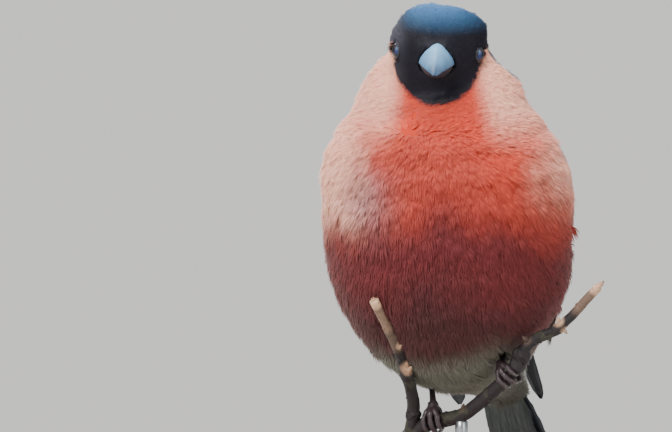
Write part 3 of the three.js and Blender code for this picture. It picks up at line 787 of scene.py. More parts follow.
TRUNK = [
    (-3, 92, 3, 94, 4, -2),
    (-5.5, 89, 8.4, 92.8, 9.8, -2),
    (-8, 85, 10.6, 89, 14.6, -2.2),
    (-10.5, 80, 12, 84.5, 18.8, -2.2),
    (-14.5, 75, 13, 79.5, 21.4, -1.9),
    (-20.5, 70, 14.8, 75.5, 22.6, -1),
    (-26.2, 64.5, 17, 70.5, 27, -0.2),
    (-30, 57.5, 19.5, 64.5, 30.6, 0.9),
    (-31.5, 48, 22.6, 56, 32, 1.9),
    (-30.5, 37.5, 25, 47, 31.9, 1.6),
    (-27, 27, 27, 38.5, 30.7, 0.9),
    (-21.5, 17.5, 29, 31, 28, 0.4),
    (-14, 9.6, 31, 24, 22.9, -0.7),
    (-5, 4.2, 33.5, 17.5, 17.2, -1.2),
    (6, 1.5, 36.2, 12.5, 12.3, -1.2),
    (17.5, 1, 39, 8, 9.6, -1),
    (27, 0, 41.5, 3.5, 7.8, -0.5),
    (33, -2.6, 43.5, 0.5, 6.2, 0),
]
BODY_SQUARENESS = 2.1
# The line of a folded wing: shares down the trunk, turns round it, swings to the bird's right,
# and heights over it
WING_ON_TRUNK = [
    (0.4, 109, 0, -4.6),
    (0.47, 119, 0, -3.8),
    (0.56, 132, 1.5, -3.2),
    (0.67, 142, 4.5, -2.2),
    (0.78, 149, 8, -0.2),
]
WING_PAST_TRUNK = (8.4, 45, 1)
WING_LEAN = 4.8
WING_PAST_OUT = (0.25, 0.7, 0.67)
WING_WRAP = 24.0


def between(rows, t):
    """The values of a row at a share of the way along, on a smooth curve through the rows"""
    rows = np.asarray(rows, float)
    place = min(max(t, 0), 1) * (len(rows) - 1)
    k = min(int(place), len(rows) - 2)
    u = place - k
    a, b, c, d = (rows[min(max(i, 0), len(rows) - 1)] for i in range(k - 1, k + 3))
    return b + ((c - a) * u + (2 * a - 5 * b + 4 * c - d) * u * u + (3 * b - a - 3 * c + d) * u**3) / 2


def rounded(value):
    return math.copysign(abs(value) ** (2 / BODY_SQUARENESS), value)


def trunk_point(share, turn, side, grow):
    """A place on the trunk: a share of the way down it, a turn from the breast to a side, and a height"""
    front_y, front_z, back_y, back_z, half, shift = between(TRUNK, share)
    ahead = np.array([0, front_y - back_y, front_z - back_z])
    depth = np.linalg.norm(ahead)
    point = np.array([0, front_y + back_y, front_z + back_z]) / 2
    point += ahead / depth * rounded(math.cos(math.radians(turn))) * (depth / 2 + grow)
    point[0] = shift + side * rounded(math.sin(math.radians(turn))) * (half + grow)
    return point


def on_line(line, share):
    steps = np.linspace(0, 1, len(line))
    return np.stack([np.interp(share, steps, column) for column in np.asarray(line).T], -1)


def wing_surface(side):
    """The outer face of a folded wing: u from its bend, v from the lower edge up the back and h outwards"""
    stops, outs = [], []
    for share, turn, swing, out in WING_ON_TRUNK:
        low, high, here = (trunk_point(share, turn + side * swing, side, grow) for grow in (0, 1, out))
        stops.append(here)
        outs.append(high - low)
    x, y, z = WING_PAST_TRUNK
    stops.append(np.array([side * x - WING_LEAN, y, z]))
    outs.append(np.array([side * WING_PAST_OUT[0], *WING_PAST_OUT[1:]]))
    outs = unit(np.array(outs))
    line, way, shares, length = smooth_line(stops, 80)

    def place(u, v, h):
        u, v, h = grids(u, v, h)
        share = np.clip(u / length, 0, 1)
        along = unit(on_line(way, share))
        rank = np.interp(share, np.linspace(0, 1, len(shares)), shares)
        out = unit(square_to(on_line(outs, rank), along))
        across = side * np.cross(out, along)
        point = on_line(line, share) + along * (u - share * length)[..., None]
        point = point + across * (np.sin(v / WING_WRAP) * (WING_WRAP + h))[..., None]
        point = point + out * (np.cos(v / WING_WRAP) * (WING_WRAP + h) - WING_WRAP)[..., None]
        return moved(point.reshape(-1, 3), bird_frame).reshape(point.shape)

    return place


TAIL_DROOP, TAIL_LENGTH, TAIL_NOTCH = 50.0, 62.0, 3.5
TAIL_ALONG = np.array([0, math.cos(math.radians(TAIL_DROOP)), -math.sin(math.radians(TAIL_DROOP))])
TAIL_OUT = np.array([0, math.sin(math.radians(TAIL_DROOP)), math.cos(math.radians(TAIL_DROOP))])


def tail_surface(u, v, h):
    """The tail's plane: u from root to tip, v to the bird's left and h up through its back"""
    u, v, h = grids(u, v, h)
    across = v[..., None] * np.array([1, 0, 0])
    point = TAIL_ROOT + u[..., None] * TAIL_ALONG + across + h[..., None] * TAIL_OUT
    return moved(point.reshape(-1, 3), bird_frame).reshape(point.shape)


# Vanes

FLIGHT_OUTLINE = ((0, 0.2, 0.5, 0.75, 0.88, 0.95, 0.985, 1), (0.5, 0.8, 1, 0.98, 0.82, 0.58, 0.34, 0.12))
COVERT_OUTLINE = ((0, 0.25, 0.6, 0.8, 0.92, 0.98, 1), (0.5, 0.9, 1, 0.9, 0.62, 0.32, 0.14))


def painted_mesh():
    bm = bmesh.new()
    bm.verts.layers.float_color.new("plumage")
    bm.verts.layers.float.new("gloss")
    bm.loops.layers.uv.new("vane")
    return bm


def vane(
    bm, surface, root, tip, width, colour_at, outline=FLIGHT_OUTLINE, lean=0.0, tilt=-0.16, bow=0.0, rows=26
):
    """A feather on a surface: two webs of barbs beside a raised shaft, a little ragged at the edge"""
    made = bmesh.ops.create_grid(bm, x_segments=8, y_segments=rows, size=1)["verts"]
    flat = np.array([vert.co for vert in made])
    x, t = flat[:, 0], (flat[:, 1] + 1) / 2
    web = x * np.abs(x)
    rag = 1 + np.where(np.abs(x) > 0.9, 0.07 * np.sin(t * 90 + x * 3 + width * 40) * np.sin(t * 37), 0)
    half = width / 2 * np.interp(t, *outline) * rag
    root, tip = np.array(root, float), np.array(tip, float)
    run = np.hypot(*(tip - root)[:2])
    across = np.array([-(tip - root)[1], (tip - root)[0]]) / run
    offset = web * (1 + lean * np.sign(web)) * half
    u, v, h = (root[k] + (tip - root)[k] * t for k in range(3))
    ridge = np.where(np.abs(web) < 0.01, 0.13, 0)
    cup = -0.25 * web**2
    h = h + bow * np.sin(math.pi * t) + web * half * tilt + ridge * (1 - t) ** 0.5 + cup
    points = surface(u + across[0] * offset, v + across[1] * offset, h)
    colours, gloss = colour_at(t, web)
    paint_layer = bm.verts.layers.float_color["plumage"]
    gloss_layer = bm.verts.layers.float["gloss"]
    laid = bm.loops.layers.uv["vane"]
    faces = {face for vert in made for face in vert.link_faces}
    for vert, point, colour, shine, side, along in zip(made, points, colours, gloss, web, t * run / 4):
        vert.co = point
        vert[paint_layer] = (*colour, 1)
        vert[gloss_layer] = shine
        for loop in vert.link_loops:
            loop[laid].uv = (side, along)
    bmesh.ops.solidify(bm, geom=list(faces), thickness=0.12)


TIP_FROM, TIP_SOFT = 0.7, 0.04


def plain_vane(colour, tip=None, edge=None, edge_width=0.25, side=0):
    """A vane's colours: a body colour, one on the tip, and one along one edge or both"""

    def colour_at(t, web):
        made = np.tile(colour, (len(t), 1))
        gloss = np.full(len(t), 0.8)
        if edge is not None:
            inside = np.abs(web) if side == 0 else web * side
            made = blend(made, edge, ramp(inside, 1 - edge_width, 1))
        if tip is not None:
            share = ramp(t - 0.04 * np.abs(web), TIP_FROM - TIP_SOFT, TIP_FROM + TIP_SOFT)
            made = blend(made, tip, share)
            gloss = gloss * (1 - 0.6 * share)
        # Painted shade: darker towards the root, where the feathers over it shade it
        return made * (0.8 + 0.2 * t)[:, None], gloss

    return colour_at


FLIGHT = plain_vane(WING_BLACK, edge=EDGE_GREY, edge_width=0.18, side=-1)
# GLOSSY and TERTIAL carry a painted blue sheen along their edges
GLOSSY = plain_vane(GLOSS_BLUE, edge=SKY_SHEEN_BLUE * 0.5, edge_width=0.5, side=-1)
TERTIAL = plain_vane(GLOSS_BLUE, edge=SKY_SHEEN_BLUE * 0.6, edge_width=0.6)
RED_TERTIAL = plain_vane(WING_BLACK, edge=TERTIAL_RED, edge_width=0.9, side=-1)
BARRED = plain_vane(WING_BLACK, tip=BAR_GREY)
GREY = plain_vane(MANTLE_GREY * 0.9, edge=MANTLE_GREY * 1.1, edge_width=0.5)
# Rows of a wing: how many vanes, then for the first and the last one where it starts and ends along the wing,
# where it starts and ends across it, its height and width, and the row's colours
WING_ROWS = [
    (9, (15, 18), (83, 63), (-8, -3), (-3.5, 1.4), (0, 1), (6.2, 6.8), FLIGHT, {"lean": 0.35, "power": 1.25}),
    (6, (16, 18), (59, 62), (-3, 4.5), (-0.6, 6), (1.1, 1.9), (6.8, 7.6), GLOSSY, {"lean": 0.2}),
    (3, (20, 23), (60, 47), (5.6, 9.2), (5, 8.6), (2.0, 2.6), (8.2, 8.4), TERTIAL, {"last": RED_TERTIAL}),
    (5, (8, 10), (34, 29), (-8.6, -5), (-8.4, -5), (1.2, 1.5), (4.6, 5), FLIGHT, {}),
    (3, (5, 8), (26, 20), (-9, -7), (-8.8, -7), (1.8, 2.1), (3.8, 4.2), FLIGHT, {}),
    (10, (10, 15), (36, 43), (-6, 9.8), (-5.6, 9.8), (1.8, 2.9), (6, 7), BARRED, {}),
    (9, (4, 9), (23, 29), (-7, 9.2), (-6.6, 9.2), (2.3, 3.3), (5.4, 6.2), GREY, {"bow": 0.3}),
    (8, (2, 6), (16, 21), (-7, 8.8), (-6.6, 8.8), (2.5, 3.6), (5.2, 5.8), GREY, {"bow": 0.3}),
]
LONG_VANE = 35


def feather_row(bm, surface, count, *spans, last=None, lean=0.0, bow=0.0, power=1.0):
    """A tier of feathers, from the one at the wing's lower edge to the one nearest the back"""
    *spans, colours = spans
    first_end, last_end = spans[1]
    for k in range(count):
        t = k / (count - 1)
        start, _, low, high, height, width = (a + (b - a) * t for a, b in spans)
        reach = first_end + (last_end - first_end) * t**power
        flight = reach - start > LONG_VANE
        uneven = (0, 0) if flight else draw.uniform(-1, 1, 2) * (0.9, 0.3)
        vane(
            bm,
            surface,
            (start, low, height - 0.9),
            (reach + uneven[0], high + uneven[1], height),
            width,
            last if last and k == count - 1 else colours,
            outline=FLIGHT_OUTLINE if flight else COVERT_OUTLINE,
            lean=lean,
            tilt=-0.16 if flight else -0.06,
            bow=bow,
            rows=26 if flight else 14,
        )


def core(bm, rings, colour):
    """The body under a set of vanes, in one colour"""
    made = loft(bm, rings)
    paint_layer = bm.verts.layers.float_color["plumage"]
    for vert in made:
        vert[paint_layer] = (*colour, 1)


def wing(label, side):
    """A folded wing: its rows of vanes, and the arm under them"""
    surface = wing_surface(side)
    bm = painted_mesh()
    for *row, extra in WING_ROWS:
        feather_row(bm, surface, *row, **extra)
    turns = round_turns(20)
    rings = []
    for t in np.linspace(0, 1, 16):
        half = 9.6 * math.sin(math.pi * (0.1 + 0.8 * t)) ** 0.6
        height = np.where(np.sin(turns) > 0, 1.6 - 1.4 * t, 3.4)
        rings.append(surface(-0.5 + 50 * t, 0.8 + np.cos(turns) * half, np.sin(turns) * height))
    core(bm, rings, WING_BLACK)
    finish(f"wing_feathers_{label}", bm, "black_feathers", VANE, f"wing_{label}")


def tail():
    """Six feathers on either side, the coverts over their roots, and the body under them"""
    bm = painted_mesh()
    # The middle pair carries a painted blue sheen along its edges
    inner = plain_vane(GLOSS_BLUE, edge=SKY_SHEEN_BLUE * 0.45, edge_width=0.4)
    for side in (1, -1):
        outer = plain_vane(WING_BLACK, edge=EDGE_GREY * 0.8, edge_width=0.15, side=side)
        for k in range(6):
            t = k / 5
            height = -0.12 * k - (0 if side > 0 else 0.25)
            vane(
                bm,
                tail_surface,
                (12, side * (0.9 + 2.2 * t), height),
                (TAIL_LENGTH - TAIL_NOTCH * (1 - t), side * (1.6 + 4.2 * t), height),
                6.8,
                inner if k == 0 else outer,
                lean=0.25 * side,
                tilt=side * 0.22,
                rows=30,
            )
    # The coverts over the tail's root carry a painted blue sheen along their edges
    dark = plain_vane(GLOSS_BLUE, edge=SKY_SHEEN_BLUE * 0.5, edge_width=0.5)
    for v in np.linspace(-3.2, 3.2, 5):
        end = (33 - 6 * abs(v) / 3.2, v, 1.5 - 0.3 * abs(v))
        vane(bm, tail_surface, (9, v * 0.8, 1.6), end, 4.4, dark, COVERT_OUTLINE, tilt=0, rows=14)
    turns = round_turns(20)
    rings = []
    for t in np.linspace(0.03, 0.97, 14):
        size = math.sin(math.pi * t) ** 0.6
        u = 7 - 12 * math.cos(math.pi * t)
        rings.append(tail_surface(u, np.cos(turns) * 5.4 * size, np.sin(turns) * 2.6 * size - 0.3))
    core(bm, rings, RUMP_WHITE)
    finish("tail_feathers", bm, "black_feathers", VANE, "tail")


wing("left", 1)
wing("right", -1)
tail()

# The bill, eyes and lids, in the head's frame

BILL_START, BILL_LENGTH, BILL_HALF, BILL_GAPE, BILL_HOOK = 8.6, 8.8, 4.5, -2.4, 3.1
NOSTRIL = np.array([2.1, -12.4, 0.9])
# Where the painted reflection of the sky on the bill starts and where it is full, in metres
BILL_DARK, BILL_PALE = 0.1254, 0.1318


def bill_half(name, solid, material, short, tall, thin, wide, drop, power, lip):
    """Half of the bill: rings from root to tip that arch over an edge, which bends down to a small hook"""
    whole = BILL_LENGTH + BILL_ROOT - BILL_START
    reach = whole - short
    arch = np.linspace(0, math.pi, 27)
    under = np.linspace(-1, 1, 11)[1:-1]
    rings = []
    for t in np.sin(np.linspace(0, math.pi / 2, 34)) * 0.992:
        taper = (1 - t**3) ** 0.62
        sag = BILL_HOOK * (1 - (1 - (t * reach / whole) ** 3) ** 0.62)
        half = BILL_HALF * taper * wide
        edge = BILL_GAPE - sag - drop
        x = np.sign(np.cos(arch)) * np.abs(np.cos(arch)) ** power * half
        x = np.concatenate([x, under * half * 0.98])
        z = edge + np.sin(arch) ** power * (tall * taper**thin)
        z = np.concatenate([z, edge + lip * (1 - under**2) * taper])
        ring = np.stack([x, np.full(len(x), -BILL_START - t * reach), z], 1)
        for side in (1, -1):
            away = np.linalg.norm(ring - NOSTRIL * (side, 1, 1), axis=1)
            ring -= (np.exp(-((away / 0.55) ** 2)) * 0.5)[:, None] * np.array([side * 0.7, 0, 0.6])
        rings.append(moved(ring, head_frame))
    bm = bmesh.new()
    loft(bm, rings)
    finish(name, bm, "bill", material, solid)


def bill_horn(name, top, low, rough):
    """Dark horn that pales upwards, towards the ridge, to a painted blue-grey reflection of the sky"""
    material, tree, shader = principled(name, rough, Coat_Weight=0.12, Coat_Roughness=0.3)
    place = object_place(tree)
    height = node(tree, "SeparateXYZ", {0: place})[2]
    rise = node(tree, "MapRange", {0: height, "From Min": BILL_DARK, "From Max": BILL_PALE})[0]
    share = math_node(tree, "MULTIPLY_ADD", noise(tree, place, 350), 0.5, rise)
    mottled(tree, shader, mixed(tree, math_node(tree, "SUBTRACT", share, 0.25), low, top), 1500, 0.12)
    bumped(tree, shader, noise(tree, stretched(tree, (1, 0.25, 1)), 2500), 0.25, 0.00004)
    return material


# Both halves pale upwards by a painted reflection of the sky, the upper one strongly
TOP_HORN = bill_horn("bill_horn", paint(130, 182, 222), paint(52, 82, 114), 0.48)
LOW_HORN = bill_horn("bill_under_horn", paint(62, 68, 82), paint(38, 40, 50), 0.75)
bill_half("bill_top_half", "bill_upper", TOP_HORN, 0, 5.1, 0.9, 1, 0, 1.28, 0.35)
bill_half("bill_low_half", "bill_lower", LOW_HORN, 1.7, -3.6, 1.1, 0.93, 0.14, 1.12, -0.35)


def eye_look():
    """A nearly black pupil in a dark brown iris under a wet cornea, with a painted reflection of the sky's
    blue on its front edge
    """
    wet = {"Coat_Weight": 0.3, "Coat_Roughness": 0.02, "Specular_IOR_Level": 0.3}
    material, tree, shader = principled("wet_eye", 0.06, Specular_Tint=(0.45, 0.6, 1.0), **wet)
    fibres = noise(tree, object_place(tree), 2600)
    edge = math_node(tree, "MULTIPLY_ADD", fibres, 0.12, attribute(tree, "ring"))
    iris = mixed(tree, math_node(tree, "GREATER_THAN", edge, 0.56), paint(8, 8, 12), paint(44, 27, 20))
    dark = mixed(tree, math_node(tree, "GREATER_THAN", edge, 1.02), iris, paint(16, 14, 16))
    blue = mixed(tree, attribute(tree, "sky"), paint(30, 44, 104), paint(150, 182, 222))
    feed(tree, shader.inputs["Base Color"], mixed(tree, attribute(tree, "ahead"), dark, blue))
    return material


def eye_ball(name, solid, facing, centre, material):
    """The eye with its cornea. It marks the pupil's ring, and where the sky shows in it."""
    bm = bmesh.new()
    ring, sky, ahead = (bm.verts.layers.float.new(label) for label in ("ring", "sky", "ahead"))
    bmesh.ops.create_uvsphere(bm, u_segments=40, v_segments=28, radius=EYE_RADIUS)
    turn = Vector(facing).to_track_quat("Z", "Y").to_matrix()
    for vert in bm.verts:
        angle = vert.co.angle(Vector((0, 0, 1)))
        vert[ring] = angle / 0.72
        out = turn @ vert.co
        vert[sky] = float(ramp(out.z / EYE_RADIUS, -0.2, 0.75))
        # Painted reflection: where the sky's blue glints on the eye's front
        lit = ramp(-out.y / EYE_RADIUS, 0.55, 0.9) * ramp(out.z / EYE_RADIUS, -0.85, -0.2)
        vert[ahead] = 0.85 * float(lit)
        vert.co = out * (1 + 0.05 * math.exp(-((angle / 0.6) ** 2))) + Vector(centre)
    finish(name, bm, "eyes", material, solid)


LID_RADIUS, LID_HALF = 2.02, 0.27


def lids(name, facing, centre, material):
    """A thin rim of bare, finely beaded skin round the eye, a little flatter over its top"""
    bm = bmesh.new()
    circle = bmesh.ops.create_circle(bm, radius=LID_HALF, segments=10)["verts"]
    bmesh.ops.rotate(bm, verts=circle, cent=(0, 0, 0), matrix=Matrix.Rotation(math.pi / 2, 3, "X"))
    bmesh.ops.translate(bm, verts=circle, vec=(LID_RADIUS, 0, 0))
    spun = {"cent": (0, 0, 0), "axis": (0, 0, 1), "angle": 2 * math.pi, "steps": 64, "use_merge": True}
    bmesh.ops.spin(bm, geom=bm.verts[:] + bm.edges[:], **spun)
    bmesh.ops.remove_doubles(bm, verts=bm.verts, dist=1e-4)
    bmesh.ops.recalc_face_normals(bm, faces=bm.faces)
    face = Vector(facing)
    up = (Vector((0, 0, 1)) - face * face.z).normalized()
    along = up.cross(face)
    for vert in bm.verts:
        x, y, z = vert.co
        turn = math.atan2(y, x)
        beads = 1 + 0.1 * math.sin(turn * 26)
        away = 2.0 + (math.hypot(x, y) - LID_RADIUS) * beads
        up_share = 0.9 if y > 0 else 0.95
        place = Vector(centre) + along * (math.cos(turn) * away) + up * (math.sin(turn) * away * up_share)
        vert.co = place + face * (1.5 + z * beads + 0.12 * abs(math.sin(turn)))
    finish(name, bm, "eyes", material)


WET_EYE = eye_look()
LID_SKIN = plain_horn("lid_skin", paint(22, 21, 26), paint(36, 35, 40), 0.6, 900)
for label, facing, centre in zip(("left", "right"), EYE_FACINGS, EYE_MIDDLES):
    eye_ball(f"eye_ball_{label}", f"eye_{label}", facing, centre, WET_EYE)
    lids(f"lids_{label}", facing, centre, LID_SKIN)

# The perch. The limb rises to the viewer's right, and a broken shoot forks off it in front of the belly.


def on_perch(*stops):
    return np.array(stops, float) + (0, 0, BELLY_LEVEL)


FOOT_END = on_perch((-13, 5, -16))[0]
LIMB = on_perch(
    (-9.5, 3.3, -9.8),
    (-5, 1.2, -6.2),
    (3.3, -3.7, -4),
    (11.5, -9, 2.6),
    (16, -12.4, 7),
    (19.8, -15.4, 14),
    (27, -18.6, 18),
    (36.6, -22, 28),
)
FORK = LIMB[0]
SHOOT = on_perch(
    (-9.5, 3.3, -9.8), (-8.6, 0.6, -2), (-10.6, -6.4, 7), (-13.2, -12.6, 14), (-18.6, -20.4, 24.8)
)
LIMB_LINE = smooth_line(LIMB, 400)[0]
SHOOT_LINE = smooth_line(SHOOT, 400)[0]


def on_limb(share):
    return on_line(LIMB_LINE, share)


def on_shoot(share):
    return on_line(SHOOT_LINE, share)


def limb_radius(share):
    return 1.95 - 0.95 * share**1.4


def shoot_radius(share):
    return 1.7 - 0.55 * share


def bark_rough(depth, seed):
    """Low swellings and lengthwise furrows of the bark"""
    start = np.random.default_rng(seed).uniform(0, 6, 6)

    def rough(share, turns):
        swell = np.sin(share * 23 + start[0]) * 0.6 + np.sin(share * 51 + turns + start[1]) * 0.5
        furrow = np.sin(turns * 5 + share * 14 + start[2]) * 0.35
        furrow = furrow + np.sin(turns * 8 - share * 31 + start[3]) * 0.3
        speck = np.sin(turns * 3 + share * 140 + start[4]) * 0.25
        return depth * (swell + furrow + speck)

    return rough


def knot(bm, at, size, seed, long=(1, 1, 1)):
    """A swollen, wrinkled joint of the twig"""
    verts = bmesh.ops.create_icosphere(bm, subdivisions=4, radius=1)["verts"]
    places = np.array([vert.co for vert in verts])
    grown = 1 + 0.1 * waves(places, 1.3, seed) + 0.05 * waves(places, 0.5, seed + 1)
    for vert, place in zip(verts, places * grown[:, None] * size * np.array(long) + at):
        vert.co = place


def bud(bm, at, way, size):
    """A pointed bud of overlapping scales"""
    stops = [np.array(at) + unit(np.array(way, float)) * size * t for t in (-0.4, 0.3, 1.0, 1.9)]

    def radius_at(t):
        return size * 0.55 * (math.sin(math.pi * (0.12 + 0.86 * t)) ** 0.7) * (1 + 0.12 * math.sin(t * 22))

    tube(bm, stops, radius_at, 12, 18)


def lenticels(bm, line, radius_at, count, seed):
    """Small raised pores on the bark"""
    source = np.random.default_rng(seed)
    for share in np.linspace(0.06, 0.94, count):
        share = min(max(share + source.uniform(-0.02, 0.02), 0.02), 0.98)
        middle, ahead = on_line(line, share), on_line(line, min(share + 0.01, 1))
        way = unit(ahead - middle)
        out = unit(np.cross(way, source.normal(size=3)))
        verts = bmesh.ops.create_icosphere(bm, subdivisions=2, radius=1)["verts"]
        sizes = source.uniform(0.16, 0.3)
        for vert in verts:
            spot = np.array(vert.co)
            drawn_out = way * (spot @ way) * sizes * 0.9
            vert.co = middle + out * (radius_at(share) - 0.02) + spot * sizes + drawn_out


def bark():
    """Dark bark with a little green on it, pale where it is marked as broken or worn"""
    material, tree, shader = principled("bark", 0.72)
    place = object_place(tree)
    dark = mixed(tree, noise(tree, place, 260), paint(16, 10, 13), paint(36, 25, 28))
    green = math_node(tree, "GREATER_THAN", noise(tree, place, 120), 0.6)
    dark = mixed(tree, math_node(tree, "MULTIPLY", green, 0.35), dark, paint(64, 66, 44))
    worn = mixed(tree, noise(tree, place, 500), paint(152, 112, 88), paint(238, 196, 160))
    grain = mottled(tree, shader, mixed(tree, attribute(tree, "pale"), dark, worn), 1400, 0.45)
    bumped(tree, shader, grain, 0.6, 0.00018)
    return material


BARK = bark()
# Buds of the limb: share along it, way out, size and how pale its place is
LIMB_BUDS = [
    (0.24, (0.2, -0.6, 1), 1.0, 0.08),
    (0.66, (-0.6, -0.7, 0.5), 1.1, 0.1),
    (0.79, (-0.1, -0.6, 1), 1.0, 0.8),
    (0.8, (0.6, -0.3, -0.8), 0.8, 0.5),
]


def pale_at(piece, spots):
    """Marks the places, each with a radius and a strength, where the bark is pale"""
    points = read_all(piece.data.vertices, "co", 3) / MM
    pale = np.zeros(len(points))
    for place, radius, strength in spots:
        away = np.linalg.norm(points - place, axis=1)
        pale = np.maximum(pale, strength * (1 - ramp(away, radius * 0.6, radius * 1.3)))
    point_values(piece.data, "pale", pale)


def limb():
    bm = bmesh.new()
    tube(bm, [FOOT_END, (FOOT_END + FORK) / 2, FORK], lambda t: 2.2, 28, 30, bark_rough(0.09, 3))
    tube(bm, LIMB, limb_radius, 28, 170, bark_rough(0.085, 5))
    knot(bm, FORK, 2.45, 11)
    knot(bm, on_limb(0.6), 2.25, 12, (1, 1, 1.1))
    for share, size, seed in ((0.56, 2.1, 13), (0.775, 1.55, 14), (0.995, 1.1, 15)):
        knot(bm, on_limb(share), size, seed)
    lenticels(bm, LIMB_LINE, limb_radius, 46, 6)
    spots = [(on_limb(1), 2.2, 1.0), (FOOT_END, 2.6, 1.0), (on_limb(0.93), 4.0, 0.22)]
    for share, way, size, pale in LIMB_BUDS:
        out = unit(np.array(way))
        base = on_limb(share) + out * limb_radius(share) * 0.9
        bud(bm, base, way, size)
        spots.append((base + out * size * 0.8, 1.5 * size, pale))
    bud(bm, on_limb(1), LIMB_LINE[-1] - LIMB_LINE[-9], 1.25)
    pale_at(finish("perch_limb", bm, "bark", BARK, "perch_branch"), spots)


def shoot():
    """The shoot with its splintered end"""
    bm = bmesh.new()
    tube(bm, SHOOT, shoot_radius, 28, 120, bark_rough(0.075, 7))
    knot(bm, on_shoot(0.43), 1.85, 21)
    knot(bm, on_shoot(0.14), 1.95, 24)
    tip = on_shoot(1)
    way = unit(SHOOT_LINE[-1] - SHOOT_LINE[-9])
    for x, y, far in ((0.3, 0.5, 1.3), (-0.5, 0.2, 1.0), (0.1, -0.5, 0.8)):
        start = tip + np.array([x, y, 0]) * 0.7 - way * 0.8
        stops = [start, start + way * far * 0.6, start + way * (far + 0.7)]
        tube(bm, stops, lambda t: 0.5 * (1 - 0.9 * t), 7, 5)
    bud(bm, on_shoot(0.45) + (0.6, -1.4, 0.3), (0.5, -1, 0.8), 1.0)
    bud(bm, on_shoot(0.64) + (0.5, -1.2, 0.2), (0.7, -0.8, 0.9), 0.8)
    lenticels(bm, SHOOT_LINE, shoot_radius, 30, 9)
    spots = [(tip, 2.6, 1.0), (on_shoot(0.86), 4.5, 0.3), (on_shoot(0.7), 3.4, 0.15)]
    spots += [(on_shoot(0.46) + (0.8, -2, 0.8), 2.1, 0.85), (on_shoot(0.155), 1.3, 0.5)]
    spots.append((on_shoot(0.64) + (0.8, -1.6, 0.8), 1.4, 0.7))
    pale_at(finish("perch_side_shoot", bm, "bark", BARK, "perch_shoot"), spots)


limb()
shoot()

# Legs and feet

GRIPS = [("left", 0.51, (15, 2, 12)), ("right", 0.13, (-7, 5, 7))]
FOOT_TURN = 6.0
TOES = [(-1, 1, 0), (1, 0.86, 2), (1, 1.1, 0), (1, 0.92, -2)]
# The height of a toe's middle over the bark, and of the ankle's
TOE_HEIGHT, ANKLE_HEIGHT = 1.08, 2.1


def round_limb(at):
    """Places round the limb where a foot grips it: a turn from its top to the breast, a height and a slide"""
    middle = into([on_limb(at)], bird_frame)[0]
    along = unit(into([on_limb(at + 0.02)], bird_frame)[0] - middle)
    up = unit(np.array([0, 0, 1]) - along * along[2])
    ahead = np.cross(along, up)
    ahead = -ahead if ahead[1] > 0 else ahead

    def place(turn, off, slide):
        a = math.radians(turn)
        out = up * math.cos(a) + ahead * math.sin(a)
        return moved([middle + along * slide + out * (limb_radius(at) + off)], bird_frame)[0]

    return place


def scutes(count, depth):
    """The overlapping plates down the front of a leg or along a toe"""

    def rough(share, turns):
        step = (share * count) % 1
        return -depth * step + depth * 0.6 * np.sin(turns * 2)

    return rough


def leg_skin():
    material, tree, shader = principled("leg_skin", 0.5, Coat_Weight=0.15)
    place = object_place(tree)
    colour = mixed(tree, noise(tree, place, 600), paint(32, 22, 29), paint(60, 42, 48))
    mottled(tree, shader, colour, 2200, 0.4)
    cells = node(tree, "TexVoronoi", {"Scale": 2600, "Vector": place})["Distance"]
    bumped(tree, shader, cells, 0.5, 0.00006)
    return material


LEG_SKIN = leg_skin()
CLAW_HORN = plain_horn("claw_horn", paint(38, 32, 34), paint(82, 72, 70), 0.3, 1200)


def toe_radius(t):
    return 0.82 * (1 - 0.2 * t) * (1 + 0.09 * math.cos(t * 6 * math.pi))


def leg_and_foot(name, at, heel):
    place = round_limb(at)
    ankle = place(FOOT_TURN, ANKLE_HEIGHT, 0)
    bm = bmesh.new()
    knot(bm, ankle, 1.35, 31, (1, 1, 0.95))
    claws = bmesh.new()
    for swing, reach, fan in TOES:

        def along(t, off):
            slide = fan * min(0.17 + t * 1.5, 1)
            return place(FOOT_TURN + swing * (9 + 123 * t) * reach, TOE_HEIGHT + off, slide)

        stops = [along(t, 1.15 * (1 - min(t * 2.4, 1))) for t in (0, 0.3, 0.55, 0.8, 1)]
        tube(bm, stops, toe_radius, 14, 54, scutes(13, 0.07))
        tips = [along(t, rise) for t, rise in ((0.93, 0.05), (1.1, 0.12), (1.26, -0.15), (1.4, -0.5))]
        tube(claws, tips, lambda t: 0.52 * (1 - t) ** 0.7 + 0.05, 10, 16)
    finish(f"toes_{name}", bm, "legs", LEG_SKIN, f"foot_{name}")
    finish(f"claws_{name}", claws, "legs", CLAW_HORN)
    heel = moved([heel], bird_frame)[0]
    bend = (heel + ankle) / 2 + (0, 0.8, 0)
    bm = bmesh.new()
    tube(bm, [heel, bend, ankle], lambda t: 0.72 * (1 + 0.3 * abs(2 * t - 1) ** 2), 18, 60, scutes(15, 0.06))
    finish(f"shin_{name}", bm, "legs", LEG_SKIN, f"leg_{name}")


for grip in GRIPS:
    leg_and_foot(*grip)

# Feathers laid in rows: over the edges of the wings, under the tail, at the bill and round the shins


def along_surface(surface, u, v, h, du, dv, dh):
    """Places on a surface with the way a feather lies there and the way outwards"""
    place = surface(u, v, h)
    lie = unit(surface(u + du, v + dv, h + dh) - place)
    return place, lie, unit(square_to(surface(u, v, h + 1) - place, lie))


def hand_laid(name, slot, kinds, laid, length, lift, curve, near, far):
    """Feathers at given places, with the way each lies and the way outwards. lift is a mean and a spread."""
    place, lie, out = laid
    count = len(place)
    lift = np.radians(draw.normal(*lift, count))
    curve = np.full(count, float(curve))
    flat = laid_at(place)
    feathers(name, slot, kinds, place, out, lie, length, lift, curve, flat, near, far, np.zeros(count))


